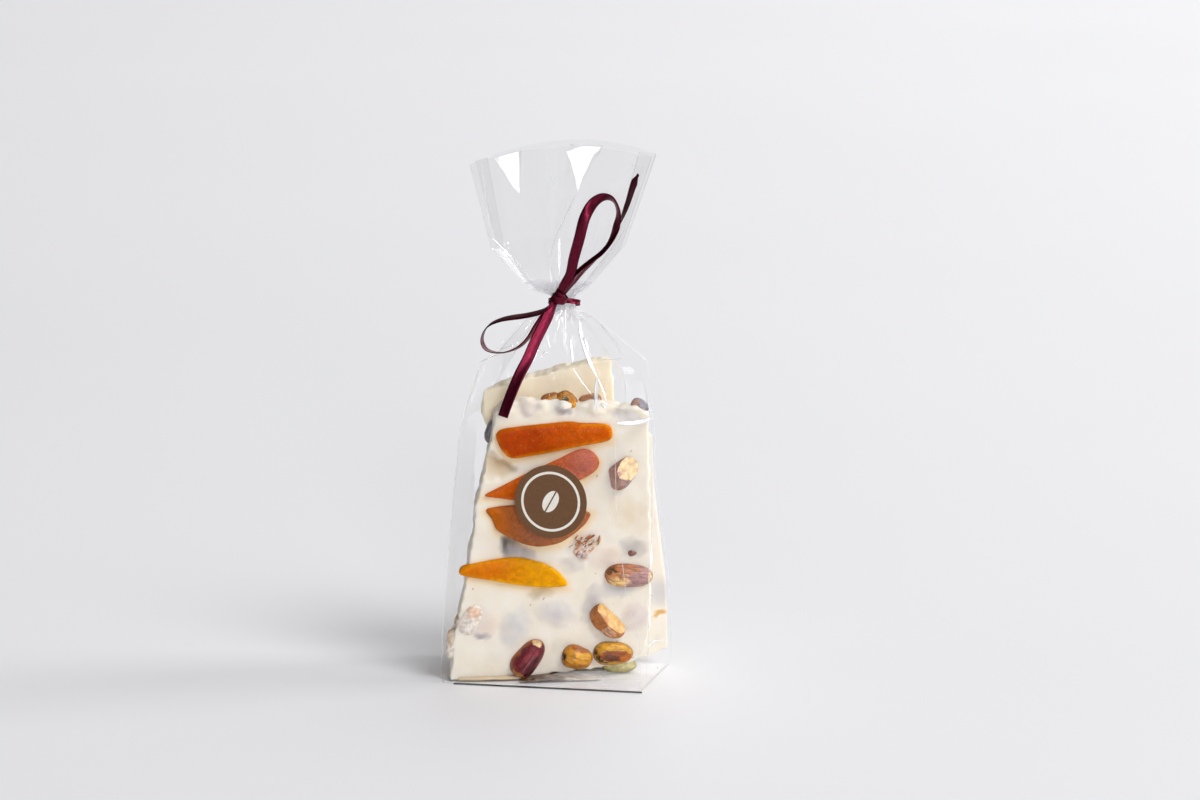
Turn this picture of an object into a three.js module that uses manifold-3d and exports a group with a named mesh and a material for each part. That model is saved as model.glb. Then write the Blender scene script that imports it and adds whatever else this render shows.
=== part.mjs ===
// A clear block-bottom sweet bag, filled, gathered and tied at the neck with a ribbon bow, with a round
// paper seal on its front. Millimetres, +Z up. The sealed front faces -Y and the origin is the middle of
// the base.
import * as THREE from 'three';
import { mergeVertices } from 'three/addons/utils/BufferGeometryUtils.js';
import Module from 'manifold-3d';

const wasm = await Module();
wasm.setup();
const { lerp, clamp, inverseLerp } = THREE.MathUtils;

// Driving dimensions of the bag
const BASE_WIDTH = 81.6;
const BASE_DEPTH = 50;
const FOOT_HEIGHT = 20;
const SHOULDER_HEIGHT = 104;
const SHOULDER_DEPTH = 42;
const EAVE_HEIGHT = 126;
const TIE_HEIGHT = 150.5;
const TIE_LENGTH = 5.2;
const NECK_WIDTH = 10.4;
const NECK_DEPTH = 2.6;
const NECK_X = 2.4;
const FLARE_HEIGHT = 174.5;
const RIM_HEIGHT = 213.5;
const MOUTH_FLOOR_HEIGHT = 181;

// The mouth's rim is an arc, highest a little right of the middle
const RIM_PEAK_X = 11;
const RIM_SAG = 7.2;
const RIM_SAG_SPAN = 40;

// Gathers across each broad wall and how unevenly they are spaced, the spread of the front's deep fold
// as a share of its width, the thickness of the wall round the open mouth, and how far its lining stays
// inside the side folds
const GATHERS = 6;
const GATHER_DRIFT = 0.4;
const FOLD_SPREAD = 0.12;
const MOUTH_WALL = 0.9;
const LINING_INSET = 2;

// Driving dimensions of the ribbon and the seal
const RIBBON_WIDTH = 4.3;
const RIBBON_THICKNESS = 0.5;
const KNOT_SIZE = [6.2, 5.6, 5];
const KNOT_CENTRE = [2.1, -5.6, 153.3];
const BAND_RADII = [6, 3.4];
const BAND_WIDTH = 2;
const BAND_TILT = 0.35;
const SEAL_DIAMETER = 29;
const SEAL_THICKNESS = 0.5;
const SEAL_X = 2.6;
const SEAL_HEIGHT = 75.4;
const CLEARANCE = 0.3;

// Facets along the front, right, back and left walls of a cross-section
const FACETS = { front: 28, right: 8, back: 28, left: 8 };

const WALL_LEAN = (BASE_DEPTH - SHOULDER_DEPTH) / 2 / (SHOULDER_HEIGHT - FOOT_HEIGHT);

// Front to back distance of the leaning walls between the foot and the shoulder
function wallDepth(height) {
  return BASE_DEPTH - 2 * WALL_LEAN * (height - FOOT_HEIGHT);
}

// Cross-sections up the bag, with straight film between them. left and right are the side walls' reach,
// skew is how much further in the right wall's front edge stands, crown is the bow of the broad walls,
// splay is how much further out the broad walls stand at their left ends and further in at their right,
// leftTuck and rightTuck are how deep the side walls fold in, or bulge where the contents push them out,
// gather is the depth of the pleats, and fold that of the front's one deep valley, which lies at the
// share foldAt of its width.
const BASE = {
  height: 0, left: BASE_WIDTH / 2, right: BASE_WIDTH / 2, skew: 0, depth: BASE_DEPTH, splay: 0,
  crown: 0, leftTuck: 0, rightTuck: 0, gather: 0, fold: 0, foldAt: 0.5,
};
const NECK = {
  ...BASE, left: NECK_WIDTH / 2 - NECK_X, right: NECK_WIDTH / 2 + NECK_X, depth: NECK_DEPTH,
  crown: 1.3, leftTuck: 0.8, rightTuck: 0.8, gather: 0.4, fold: 0.3, foldAt: 0.47,
};
const SECTIONS = [
  { ...BASE, skew: 1.8, splay: 2.7 },
  { ...BASE, height: FOOT_HEIGHT, left: 40.5, right: 40.4, skew: 2, splay: 2.2 },
  {
    ...BASE, height: 38, left: 39.8, right: 39.2, skew: 6, depth: wallDepth(38), splay: 1.3,
    rightTuck: -1.6,
  },
  {
    ...BASE, height: 74, left: 37.2, right: 34.4, skew: 5.5, depth: wallDepth(74),
    leftTuck: 1, rightTuck: -5.7,
  },
  {
    ...BASE, height: SHOULDER_HEIGHT, left: 34.4, right: 33.4, skew: 5.5, depth: SHOULDER_DEPTH,
    leftTuck: 2, rightTuck: -7,
  },
  {
    ...BASE, height: 110, left: 32.8, right: 33.2, skew: 4.8, depth: 37.9, crown: 0.4,
    leftTuck: 3.9, rightTuck: -5.5, gather: 0.2,
  },
  {
    ...BASE, height: EAVE_HEIGHT, left: 28.5, right: 32.6, skew: 3, depth: 27, crown: 1.5,
    leftTuck: 9, rightTuck: 9, gather: 0.8,
  },
  {
    ...NECK, height: 145.3, left: 11.3, right: 11.8, skew: 0.4, depth: 8, crown: 1.9,
    leftTuck: 3.4, rightTuck: 3.4, gather: 0.9, fold: 0.7,
  },
  { ...NECK, height: TIE_HEIGHT - TIE_LENGTH / 2 },
  { ...NECK, height: TIE_HEIGHT + TIE_LENGTH / 2 },
  {
    ...NECK, height: 155.9, left: 11.2, right: 11.2, depth: 4, crown: 1.4,
    leftTuck: 2.7, rightTuck: 2.7, gather: 0.8, fold: 0.8,
  },
  {
    ...NECK, height: FLARE_HEIGHT, left: 26, right: 26, depth: 8, crown: 3.2,
    leftTuck: 4, rightTuck: 4, gather: 1.3, fold: 4,
  },
  {
    ...NECK, height: RIM_HEIGHT, left: 34.5, right: 38.5, depth: 8, crown: 6,
    leftTuck: 6, rightTuck: 6, gather: 0.6, fold: 8, foldAt: 0.55,
  },
];
const RIM = SECTIONS[SECTIONS.length - 1];

// Cross-section at any height, by straight interpolation of every size
function sectionAt(height) {
  const above = Math.max(1, SECTIONS.findIndex((section) => section.height >= height));
  const low = SECTIONS[above - 1];
  const high = SECTIONS[above];
  const share = inverseLerp(low.height, high.height, height);
  return Object.fromEntries(Object.keys(low).map((size) => [size, lerp(low[size], high[size], share)]));
}

// Point on the front (side -1) or back (side 1) wall, at a share of the way from its left to its right
function broadWallPoint(section, side, share) {
  const right = side < 0 ? section.right - section.skew : section.right;
  const bow = section.crown * 4 * share * (1 - share);
  const turns = GATHERS * share + GATHER_DRIFT * Math.sin(4 * Math.PI * share);
  const gather = section.gather * (0.5 - 0.5 * Math.cos(2 * Math.PI * turns));
  const valley = Math.max(0, 1 - Math.abs(share - section.foldAt) / FOLD_SPREAD);
  const fold = side < 0 ? section.fold * valley : 0;
  const out = section.depth / 2 + section.splay * (1 - 2 * share) + bow - gather - fold;
  return [lerp(-section.left, right, share), side * out];
}

// Closed outline of a cross-section, anticlockwise from the front's left corner. With a lining, it is
// the outline of the mouth's inner face instead, one wall thickness in and clear of the side folds.
function outline(section, lining) {
  const margin = lining ? (section.rightTuck + LINING_INSET) / (section.left + section.right) : 0;
  const inset = lining ? MOUTH_WALL : 0;
  const broad = (side, share) => {
    const [x, y] = broadWallPoint(section, side, lerp(margin, 1 - margin, share));
    return [x, y - side * inset];
  };
  const narrow = (side, share) => {
    const [frontX, frontY] = broad(-1, side > 0 ? 1 : 0);
    const [backX, backY] = broad(1, side > 0 ? 1 : 0);
    const depth = side > 0 ? section.rightTuck : section.leftTuck;
    const tuck = lining ? 0 : depth * (1 - Math.abs(2 * share - 1));
    return [lerp(frontX, backX, share) - side * tuck, lerp(frontY, backY, share)];
  };
  const walls = [
    [FACETS.front, (share) => broad(-1, share)],
    [FACETS.right, (share) => narrow(1, share)],
    [FACETS.back, (share) => broad(1, 1 - share)],
    [FACETS.left, (share) => narrow(-1, 1 - share)],
  ];
  return walls.flatMap(([count, wall]) => Array.from({ length: count }, (_, i) => wall(i / count)));
}

// Height of the rim above a place on the X axis
function rimHeight(x) {
  return RIM_HEIGHT - RIM_SAG * ((x - RIM_PEAK_X) / RIM_SAG_SPAN) ** 2;
}

// Ring of the bag's film at a height on its middle line. Above the tie the rings arch like the rim.
function ring(height, lining = false) {
  const rim = outline(RIM, lining);
  const reach = Math.max(0, (height - TIE_HEIGHT) / (RIM_HEIGHT - TIE_HEIGHT));
  return outline(sectionAt(height), lining).map(([x, y], i) => {
    const z = Math.min(height, TIE_HEIGHT) + reach * (rimHeight(rim[i][0]) - TIE_HEIGHT);
    return new THREE.Vector3(x, y, z);
  });
}

// Closed solid through a stack of rings of equal length, each end capped by a fan about its middle
function loft(rings) {
  const size = rings[0].length;
  const middle = (points) => points.reduce((sum, p) => sum.add(p), new THREE.Vector3()).divideScalar(size);
  const points = [...rings.flat(), middle(rings[0]), middle(rings[rings.length - 1])];
  const startMiddle = points.length - 2;
  const endMiddle = points.length - 1;
  const lastRing = (rings.length - 1) * size;
  const triangles = [];
  for (let i = 0; i < size; i += 1) {
    const next = (i + 1) % size;
    for (let row = 0; row < lastRing; row += size) {
      triangles.push(row + i, row + next, row + size + next);
      triangles.push(row + i, row + size + next, row + size + i);
    }
    triangles.push(startMiddle, next, i);
    triangles.push(endMiddle, lastRing + i, lastRing + next);
  }
  const geometry = new THREE.BufferGeometry().setFromPoints(points);
  return geometry.setIndex(triangles);
}

// Heights from one level to another in equal steps, without the first
function levels(from, to, count) {
  return Array.from({ length: count }, (_, i) => lerp(from, to, (i + 1) / count));
}

// The filled bag: a solid up to the tie and into the flare, with an open mouth above
function bagGeometry() {
  const outer = [0];
  const stepsBetween = [1, 1, 2, 2, 1, 3, 4, 1, 1, 1, 4, 6];
  stepsBetween.forEach((count, i) => {
    outer.push(...levels(SECTIONS[i].height, SECTIONS[i + 1].height, count));
  });
  const inner = [RIM_HEIGHT, ...levels(RIM_HEIGHT, MOUTH_FLOOR_HEIGHT, 5)];
  return loft([...outer.map((height) => ring(height)), ...inner.map((height) => ring(height, true))]);
}

// Flat ribbon along a route. across lists directions of its width, spread evenly over the route, and
// tip is the share of the width that is left at the far end.
function strip(route, across, tip = 1) {
  const curve = new THREE.CatmullRomCurve3(route.map((point) => new THREE.Vector3(...point)));
  const widths = across.map((direction) => new THREE.Vector3(...direction));
  const steps = (route.length - 1) * 3;
  const rings = Array.from({ length: steps + 1 }, (_, i) => {
    const along = i / steps;
    const place = along * (widths.length - 1);
    const first = clamp(Math.floor(place), 0, Math.max(0, widths.length - 2));
    const next = Math.min(first + 1, widths.length - 1);
    const tangent = curve.getTangentAt(along);
    const width = widths[first].clone().lerp(widths[next], place - first);
    width.addScaledVector(tangent, -width.dot(tangent)).normalize();
    const face = tangent.clone().cross(width);
    const half = (i === steps ? tip : 1) * RIBBON_WIDTH / 2;
    const corner = (u, v) => curve.getPointAt(along)
      .addScaledVector(width, u * half).addScaledVector(face, v * RIBBON_THICKNESS / 2);
    return [corner(-1, -1), corner(1, -1), corner(1, 1), corner(-1, 1)];
  });
  return loft(rings);
}

// Routes of the bow's free stretches, each from the knot outwards
const LOW_TAIL = [
  [1.6, -6.6, 152.8], [0.3, -8.4, 151.2], [-1.2, -10, 147.6], [-2.8, -11.7, 143.7], [-5.4, -14.2, 137.7],
  [-8.2, -17, 130.2], [-10.6, -18.8, 125.1], [-13.3, -21, 118], [-15.6, -22.6, 111.1], [-16.5, -22.9, 108.2],
];
const LEFT_LOOP = [
  [0.8, -6.6, 152.2], [-2.5, -9, 149.3], [-5.1, -10, 148], [-10.6, -11, 146.6], [-16.5, -11.7, 145.6],
  [-20.1, -12, 144.7], [-24.4, -12.5, 142.6], [-26.9, -13, 139.3], [-27.4, -13.5, 135.8],
  [-25.7, -14, 133], [-21.7, -14, 131.8], [-16.8, -14, 132.4], [-12.1, -13.5, 134.6], [-8.7, -12.5, 138.1],
  [-6.2, -11.2, 142.3], [-3.1, -9.2, 147], [0.2, -6.8, 151.4],
];
const HIGH_LOOP = [
  [2.2, -6.6, 154.2], [3.2, -7.8, 157.2], [6.8, -9.2, 162.3], [8.9, -10.6, 170], [11.3, -11.8, 177.7],
  [14.3, -13, 188.1], [18, -13.5, 194.4], [22, -14, 196.9], [25.4, -14, 195.7], [27.3, -13.5, 190.4],
  [26.6, -12.6, 184.7], [24, -11.4, 178.4], [20.5, -10.6, 173.4], [16, -9.8, 169.2], [11.8, -9, 165.2],
  [7.3, -8, 160], [3.2, -6.6, 154.4],
];
const HIGH_TAIL = [
  [2.8, -6, 154], [6.8, -7, 159.6], [11.3, -7.8, 164.8], [15.4, -8.2, 168.7], [19.8, -8.6, 172.8],
  [23.3, -9, 177.7], [27.7, -9.8, 186], [30.6, -10.4, 193.1], [32.8, -11, 199.8], [34.9, -11.5, 204.4],
];

// Closed mesh to a solid that can be joined, and back
function toSolid(geometry) {
  const bare = geometry.clone();
  bare.deleteAttribute('normal');
  bare.deleteAttribute('uv');
  const merged = mergeVertices(bare);
  const vertProperties = new Float32Array(merged.getAttribute('position').array);
  const triVerts = new Uint32Array(merged.getIndex().array);
  return new wasm.Manifold(new wasm.Mesh({ numProp: 3, vertProperties, triVerts }));
}

function toGeometry(solid) {
  const { vertProperties, triVerts } = solid.getMesh();
  const geometry = new THREE.BufferGeometry();
  geometry.setAttribute('position', new THREE.BufferAttribute(new Float32Array(vertProperties), 3));
  return geometry.setIndex(new THREE.BufferAttribute(new Uint32Array(triVerts), 1));
}

// Ribbon wound once round the neck, drawn up in front by the knot
function bandGeometry() {
  const [reach, depth] = BAND_RADII;
  const half = BAND_WIDTH / 2;
  const outer = reach + RIBBON_THICKNESS;
  const profile = [[reach, -half], [outer, -half], [outer, half], [reach, half], [reach, -half]];
  const band = new THREE.LatheGeometry(profile.map(([x, y]) => new THREE.Vector2(x, y)), 32);
  band.rotateX(Math.PI / 2).scale(1, depth / reach, 1).rotateX(-BAND_TILT);
  return band.translate(NECK_X, 0, TIE_HEIGHT);
}

// The whole ribbon: band, knot, two loops and two tails
function ribbonGeometry() {
  const knot = new THREE.SphereGeometry(0.5, 16, 12).scale(...KNOT_SIZE).translate(...KNOT_CENTRE);
  const pieces = [
    bandGeometry(),
    knot,
    strip(LOW_TAIL, [[0.9, 0.2, -0.35], [0.9, 0.15, -0.35]]),
    strip(LEFT_LOOP, [[0, 0.93, 0.36], [0, 0.95, 0.3], [0.25, 0.95, 0], [0, 0.93, -0.35], [0.4, 0.8, -0.5]]),
    strip(HIGH_LOOP, [
      [0.9, 0.3, -0.3], [0.9, 0.3, -0.3], [0.1, 0.9, 0.4], [-0.2, 0.95, 0.1], [-0.6, 0.6, 0.5],
    ]),
    strip(HIGH_TAIL, [
      [0.6, 0.6, -0.55], [0.43, 0.8, -0.42], [0.15, 0.98, -0.14], [0.4, 0.85, -0.35], [0.5, 0.8, -0.2],
    ], 0.15),
  ];
  return toGeometry(pieces.map(toSolid).reduce((whole, piece) => whole.add(piece)));
}

// The round seal, lying on the leaning front wall
function sealMesh(material) {
  const radius = SEAL_DIAMETER / 2;
  const seal = new THREE.Mesh(new THREE.CylinderGeometry(radius, radius, SEAL_THICKNESS, 56), material);
  const lean = Math.atan(WALL_LEAN);
  const outwards = new THREE.Vector3(0, -Math.cos(lean), Math.sin(lean));
  seal.position.set(SEAL_X, -wallDepth(SEAL_HEIGHT) / 2, SEAL_HEIGHT);
  seal.position.addScaledVector(outwards, CLEARANCE + SEAL_THICKNESS / 2);
  seal.rotation.x = -lean;
  return seal;
}

const film = new THREE.MeshStandardMaterial({
  color: '#eef0f2', roughness: 0.08, metalness: 0, transparent: true, opacity: 0.35,
});
const satin = new THREE.MeshStandardMaterial({ color: '#5c1230', roughness: 0.45, metalness: 0 });
const paper = new THREE.MeshStandardMaterial({ color: '#6b4a26', roughness: 0.6, metalness: 0 });

function named(mesh, name) {
  mesh.name = name;
  return mesh;
}

const part = new THREE.Group();
part.add(named(new THREE.Mesh(bagGeometry(), film), 'bag'));
part.add(named(new THREE.Mesh(ribbonGeometry(), satin), 'ribbon'));
part.add(named(sealMesh(paper), 'seal'));

export default part;
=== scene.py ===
# A clear bag of white chocolate bark, tied with a satin ribbon. The bag's film, what is in it, the ribbon
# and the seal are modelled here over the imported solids, in the same frame. Sizes are in millimetres, and
# become metres where a mesh is made. X runs to the right, Y to the back and Z up.
import math
import random
from contextlib import contextmanager

import bpy
import numpy as np
from mathutils import Matrix, Vector, noise


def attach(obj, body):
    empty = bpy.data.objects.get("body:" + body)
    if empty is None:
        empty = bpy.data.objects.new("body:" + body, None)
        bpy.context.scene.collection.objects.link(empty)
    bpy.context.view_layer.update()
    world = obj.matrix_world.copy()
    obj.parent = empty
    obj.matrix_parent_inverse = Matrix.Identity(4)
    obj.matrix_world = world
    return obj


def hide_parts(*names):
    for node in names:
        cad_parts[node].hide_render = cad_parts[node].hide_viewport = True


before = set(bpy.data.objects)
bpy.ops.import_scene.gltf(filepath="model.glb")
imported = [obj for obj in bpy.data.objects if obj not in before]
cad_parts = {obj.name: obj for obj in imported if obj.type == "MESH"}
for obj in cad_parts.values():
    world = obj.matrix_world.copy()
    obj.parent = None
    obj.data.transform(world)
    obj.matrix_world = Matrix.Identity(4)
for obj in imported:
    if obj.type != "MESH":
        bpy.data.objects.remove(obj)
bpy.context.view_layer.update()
bpy.ops.object.select_all(action="DESELECT")

MM = 0.001
NOISE_GAIN = 1.6

# View of the photograph
CAMERA_AZIMUTH = math.radians(13.9)
CAMERA_ELEVATION = math.radians(12.5)
CAMERA_DISTANCE = 1962
CAMERA_LENS = 150
CAMERA_SENSOR = 36
CAMERA_TARGET = (16.8, 0, 111.9)

# Ribbon
RIBBON_WIDTH = 4.3
RIBBON_THICKNESS = 0.4
RIBBON_CUP = 0.22
RIBBON_STEP = 0.4
RIBBON_COLUMNS = 9
KNOT_CENTRE = (2.1, -6.2, 153.4)
KNOT_LEAN = math.radians(32)
# The knot's two turns: how far up the knot, half width, how proud they stand, and their tilt. Inside them
# is a core, given by its half sizes.
KNOT_TURNS = ((-0.6, 2.9, 2.3, 0.3), (0.7, 2.6, 2, -0.25))
KNOT_TURN_WIDTH = 3
KNOT_CORE = (2.5, 1.9, 2.2)
BAND_CENTRE = (2.4, 0, 150.5)
BAND_RADII = (6.25, 3.6)
BAND_TILT = 0.35
BAND_WIDTH = 2
BAND_POINTS = 120
KNOT_TURN_POINTS = 72
# Where it leaves the knot the ribbon is pinched to a share of its width, over a length
PINCH_WIDTH = 0.45
PINCH_LENGTH = 8

# Routes of the bow's free stretches, each from the knot outwards, and the directions of the ribbon's
# width along them
LOW_TAIL = (
    (1.6, -6.6, 152.8), (0.3, -8.4, 151.2), (-1.2, -10, 147.6), (-2.8, -11.7, 143.7), (-5.4, -14.2, 137.7),
    (-8.2, -17, 130.2), (-10.6, -18.8, 125.1), (-13.3, -21, 118), (-15.6, -22.6, 111.1),
    (-16.5, -22.9, 108.2),
)
LOW_TAIL_ACROSS = (
    (0.9, 0.2, -0.35), (0.9, 0.2, -0.35), (0.9, 0.2, -0.35), (0.9, -0.1, -0.33), (0.9, -0.28, -0.28),
)
LEFT_LOOP = (
    (0.8, -6.6, 152.2), (-2.5, -9, 149.3), (-5.1, -10, 148), (-10.6, -11, 146.6), (-16.5, -11.7, 145.6),
    (-20.1, -12, 144.7), (-24.4, -12.5, 142.6), (-26.9, -13, 139.3), (-27.4, -13.5, 135.8),
    (-25.7, -14, 133), (-21.7, -14, 131.8), (-16.8, -14, 132.4), (-12.1, -13.5, 134.6), (-8.7, -12.5, 138.1),
    (-6.2, -11.2, 142.3), (-3.1, -9.2, 147), (0.2, -6.8, 151.4),
)
LEFT_LOOP_ACROSS = ((0, 0.93, 0.36), (0, 0.95, 0.3), (0, 0.99, 0), (0, 0.93, -0.35), (0.4, 0.8, -0.5))
HIGH_LOOP = (
    (2.2, -6.6, 154.2), (3.2, -7.8, 157.2), (6.8, -9.2, 162.3), (8.9, -10.6, 170), (11.4, -12.2, 177.8),
    (13.9, -11.4, 187.3), (16.8, -8.8, 192.3), (20.5, -7.9, 194.3), (24, -8.2, 193.4), (26.2, -9, 189),
    (25.8, -9.4, 184), (23.6, -9.6, 178), (20.3, -9.6, 173.2), (15.9, -9.4, 169.1), (11.8, -9, 165.2),
    (7.3, -8, 160), (3.2, -6.6, 154.4),
)
HIGH_LOOP_ACROSS = (
    (0.88, -0.18, -0.4), (0.88, -0.18, -0.4), (0.9, 0, -0.4), (0.85, 0.1, -0.5), (0, 0.7, -0.7),
    (-0.8, 0.55, -0.2), (-0.3, 0.92, 0.2), (0.1, 0.95, -0.1), (0.35, 0.86, -0.3),
)
HIGH_TAIL = (
    (2.8, -6, 154), (6.8, -7, 159.6), (11.3, -7.8, 164.8), (15.4, -8.2, 168.7), (19.8, -8.6, 172.8),
    (23.3, -9, 177.7), (27.7, -9.8, 186), (30.6, -10.4, 193.1), (32.8, -11, 199.8), (34.9, -11.5, 204.4),
)
HIGH_TAIL_ACROSS = (
    (0.6, 0.6, -0.55), (0.43, 0.8, -0.42), (0, 0.98, -0.1), (-0.5, 0.8, 0.15), (-0.7, 0.63, 0.3),
)
# The high tail tapers over a length to a share of its width, and the low tail's cut slants
HIGH_TAIL_POINT = 3.5
POINT_WIDTH = 0.32
LOW_TAIL_SLANT = 0.3

# Bag: heights and cross-sections of the film
FOOT_HEIGHT = 20
SHOULDER_HEIGHT = 104
TIE_HEIGHT = 150.5
NECK_LOW = 147.9
NECK_HIGH = 153.1
RIM_HEIGHT = 213.5
RIM_PEAK_X = 11
RIM_SAG = 7.2
RIM_SAG_SPAN = 40
GATHERS = 6
GATHER_DRIFT = 0.4
FOLD_SPREAD = 0.12
BASE_DEPTH = 50
SHOULDER_DEPTH = 42
WALL_LEAN = (BASE_DEPTH - SHOULDER_DEPTH) / 2 / (SHOULDER_HEIGHT - FOOT_HEIGHT)
FILM_THICKNESS = 0.1
# Rings of the bag's bottom from its middle outwards: share of the foot's size, and height
BOTTOM_RINGS = ((0.02, 0.5), (0.3, 0.5), (0.6, 0.4), (0.85, 0.3), (0.95, 0.2), (0.985, 0.25))
BOTTOM_EDGE = 1.0
# How far the contents keep from the film, and from the floor
FILM_CLEARANCE = 0.5
FLOOR_CLEARANCE = 0.6
# Crumple of the front, over its shoulder and up its fan: the height of its ridges, the heights at which it
# sets in, is full, wanes and ends, and the share of it that is lost by then
CRUMPLES = ((0.9, (107, 120, 136, 147), 1), (0.55, (155, 168, 190, 212), 0.5))
GATHER_SPAN = (144, 159)
GATHER_LAYERS = (0.8, 0.5)
GATHER_ROWS = 26
GATHER_EDGE = 0.985
# Heights between which the film comes to mirror more, and to let less light through
MIRROR_SPAN = (106, 166)
DIM_SPAN = (150, 166)


def wall_depth(height):
    """Front to back distance of the leaning walls between the foot and the shoulder"""
    return BASE_DEPTH - 2 * WALL_LEAN * (height - FOOT_HEIGHT)


# Each row gives a height, the reach of the left and right walls, how much further in the right wall's
# front edge stands, the depth, how much further out the broad walls stand at their left ends, their bow,
# how deep the left and right walls fold in, the depth of the gathers, and the depth and place of the
# front's deep fold
SECTION_SIZES = (
    "height", "left", "right", "skew", "depth", "splay", "crown", "left_tuck", "right_tuck", "gather",
    "fold", "fold_at",
)
SECTIONS = (
    (0, 40.8, 40.8, 1.8, BASE_DEPTH, 2.7, 0, 0, 0, 0, 0, 0.5),
    (FOOT_HEIGHT, 40.5, 40.4, 2, BASE_DEPTH, 2.2, 0, 0, 0, 0, 0, 0.5),
    (38, 39.8, 39.2, 6, wall_depth(38), 1.3, 0, 0, -1.6, 0, 0, 0.5),
    (74, 37.2, 34.4, 5.5, wall_depth(74), 0, 0, 1, -5.7, 0, 0, 0.5),
    (SHOULDER_HEIGHT, 34.4, 33.4, 5.5, SHOULDER_DEPTH, 0, 0, 2, -7, 0, 0, 0.5),
    (110, 32.8, 33.2, 4.8, 37.9, 0, 0.4, 3.9, -5.5, 0.2, 0, 0.5),
    (126, 28.5, 32.6, 3, 27, 0, 1.5, 9, 9, 0.8, 0, 0.5),
    (145.3, 11.3, 11.8, 0.4, 8, 0, 1.9, 3.4, 3.4, 0.9, 0.7, 0.47),
    (NECK_LOW, 2.8, 7.6, 0, 2.6, 0, 1.3, 0.8, 0.8, 0.4, 0.3, 0.47),
    (NECK_HIGH, 2.8, 7.6, 0, 2.6, 0, 1.3, 0.8, 0.8, 0.4, 0.3, 0.47),
    (155.9, 11.2, 11.2, 0, 4, 0, 1.4, 2.7, 2.7, 0.6, 0.5, 0.47),
    (174.5, 26, 26, 0, 8, 0, 3.2, 4, 4, 0.9, 2.6, 0.47),
    (RIM_HEIGHT, 34.5, 38.5, 0, 8, 0, 6, 6, 6, 0.6, 8, 0.55),
)
ROWS_BETWEEN = (5, 6, 10, 10, 6, 18, 22, 5, 5, 5, 24, 56)
WALL_COLUMNS = {"front": 150, "right": 30, "back": 44, "left": 24}

# Low ridges in the film's front, from one point of X and Z to another, with their half width and height
FRONT_CREASES = (
    ((9.9, 144.6), (13.5, 133.8), 2, 0.7),
    ((13.5, 133.8), (19.4, 124.1), 2, 0.7),
    ((19.4, 124.1), (20.1, 111.6), 2.2, 0.7),
    ((19.4, 124.1), (24.2, 113.6), 1.8, 0.5),
    ((7.2, 139), (12.8, 137.4), 1.6, 0.5),
    ((7.1, 137.9), (9.2, 129), 1.5, 0.5),
    ((9.2, 127.4), (17.9, 117.5), 1.6, 0.5),
    ((-28.9, 127.1), (-21.3, 130.7), 1.8, 0.6),
    ((-3, 131), (-2, 137), 1.6, 0.5),
    ((6.6, 147.7), (22.6, 138.7), 1.6, 0.5),
    ((22.6, 138.7), (28.4, 132.3), 1.6, 0.5),
    ((-19.2, 171.1), (-8.5, 157.3), 1.6, 0.6),
)

# Flat facets folded in the fan, as outlines in X and Z, how far back they go to the right and up, how far
# past their outlines they reach, and over what distance they run out into the film there
FAN_FACETS = (
    ((-23.8, 209.5), (-14.4, 212), (-13.5, 193.2), (-16.6, 196.2), (-20.1, 202.5)),
    ((4, 211.5), (19, 216), (17.4, 211.5), (15.4, 209.7), (11.8, 201.6), (9.8, 195.2), (8.5, 200.3),
     (6.2, 206.5)),
)
FACET_SLOPES = (0.323, 0.252)
FACET_MARGIN = 0.8
FACET_EASE = 0.5

# Creases where the film is folded hard, white with painted highlight and glossy where they catch the lights:
# their width, and their points in X and Z
WHITE_CREASES = (
    (0.3, ((-29.6, 204.8), (-26.3, 176.5))),
    (1.1, ((-26, 175.7), (-23, 173.2), (-19.2, 169.8), (-13.4, 162.2))),
    (0.35, ((-19.2, 171.1), (-8.5, 157.3))),
    (0.3, ((9.3, 195.1), (4.7, 186.1), (0.3, 176.7), (-2.5, 167.5))),
    (0.1, ((-2.5, 167.5), (0.2, 157.4))),
    (0.1, ((0.7, 167.4), (1.8, 157.2))),
    (0.3, ((9.1, 155.8), (20.7, 170.7), (28.8, 182.5))),
    (0.3, ((32.5, 210.9), (30.5, 204.5))),
    (0.2, ((-2.9, 210.4), (-1.7, 203.3), (0.6, 193.4))),
    (1.1, ((7.1, 137.9), (8.1, 133.7), (9.2, 129))),
    (1.8, ((9.9, 144.6), (10.6, 141), (13.5, 133.8), (16.4, 128.5), (19.4, 124.1))),
    (1.2, ((10.1, 139.3), (12.8, 137.4), (14.8, 133.4))),
    (1.5, ((19.1, 124.4), (19.3, 118.5), (20.1, 111.6))),
    (0.8, ((19.4, 124.1), (22.4, 118.7), (24.2, 113.6))),
    (1.6, ((21.5, 114.7), (23.9, 113))),
    (0.5, ((9.2, 127.4), (13.5, 122), (17.9, 117.5))),
    (0.25, ((-28.9, 127.1), (-25.1, 129.1), (-21.3, 130.7))),
    (0.2, ((20.1, 130.6), (24, 130.8), (28.6, 131.3))),
    (0.4, ((6.6, 147.7), (14.1, 145.6), (22.6, 138.7), (28.4, 132.3))),
    (0.35, ((15.8, 144.7), (27.5, 134.4))),
    (1.2, ((-3, 131.7), (-1.8, 132.6))),
    (0.4, ((-2.2, 137.8), (-0.4, 133.8))),
    (0.3, ((-0.6, 148.9), (-2.7, 143.5))),
    (0.3, ((1.8, 148.1), (1.5, 139.9))),
    (0.3, ((3.5, 148.3), (4.9, 140.8))),
    (0.3, ((5.5, 147.6), (7.2, 142.3))),
    (0.25, ((-21.5, 132.1), (-15.5, 134.3))),
)

# A crease stands a gap off the film, and rises from there by a share of its half width
CREASE_GAP = 0.15
CREASE_RISE = 0.15
CREASE_SIDES = 5
CREASE_STEP = 0.6
# Direction that a crease's facet turns to, as far as its run lets it, so that it glints
CREASE_FACING = (0.464, -0.725, 0.51)
EDGE_CREASE_SPAN = (2, 126)
EDGE_CREASE_POINTS = 160
EDGE_CREASE_WIDTH = 0.16

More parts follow.
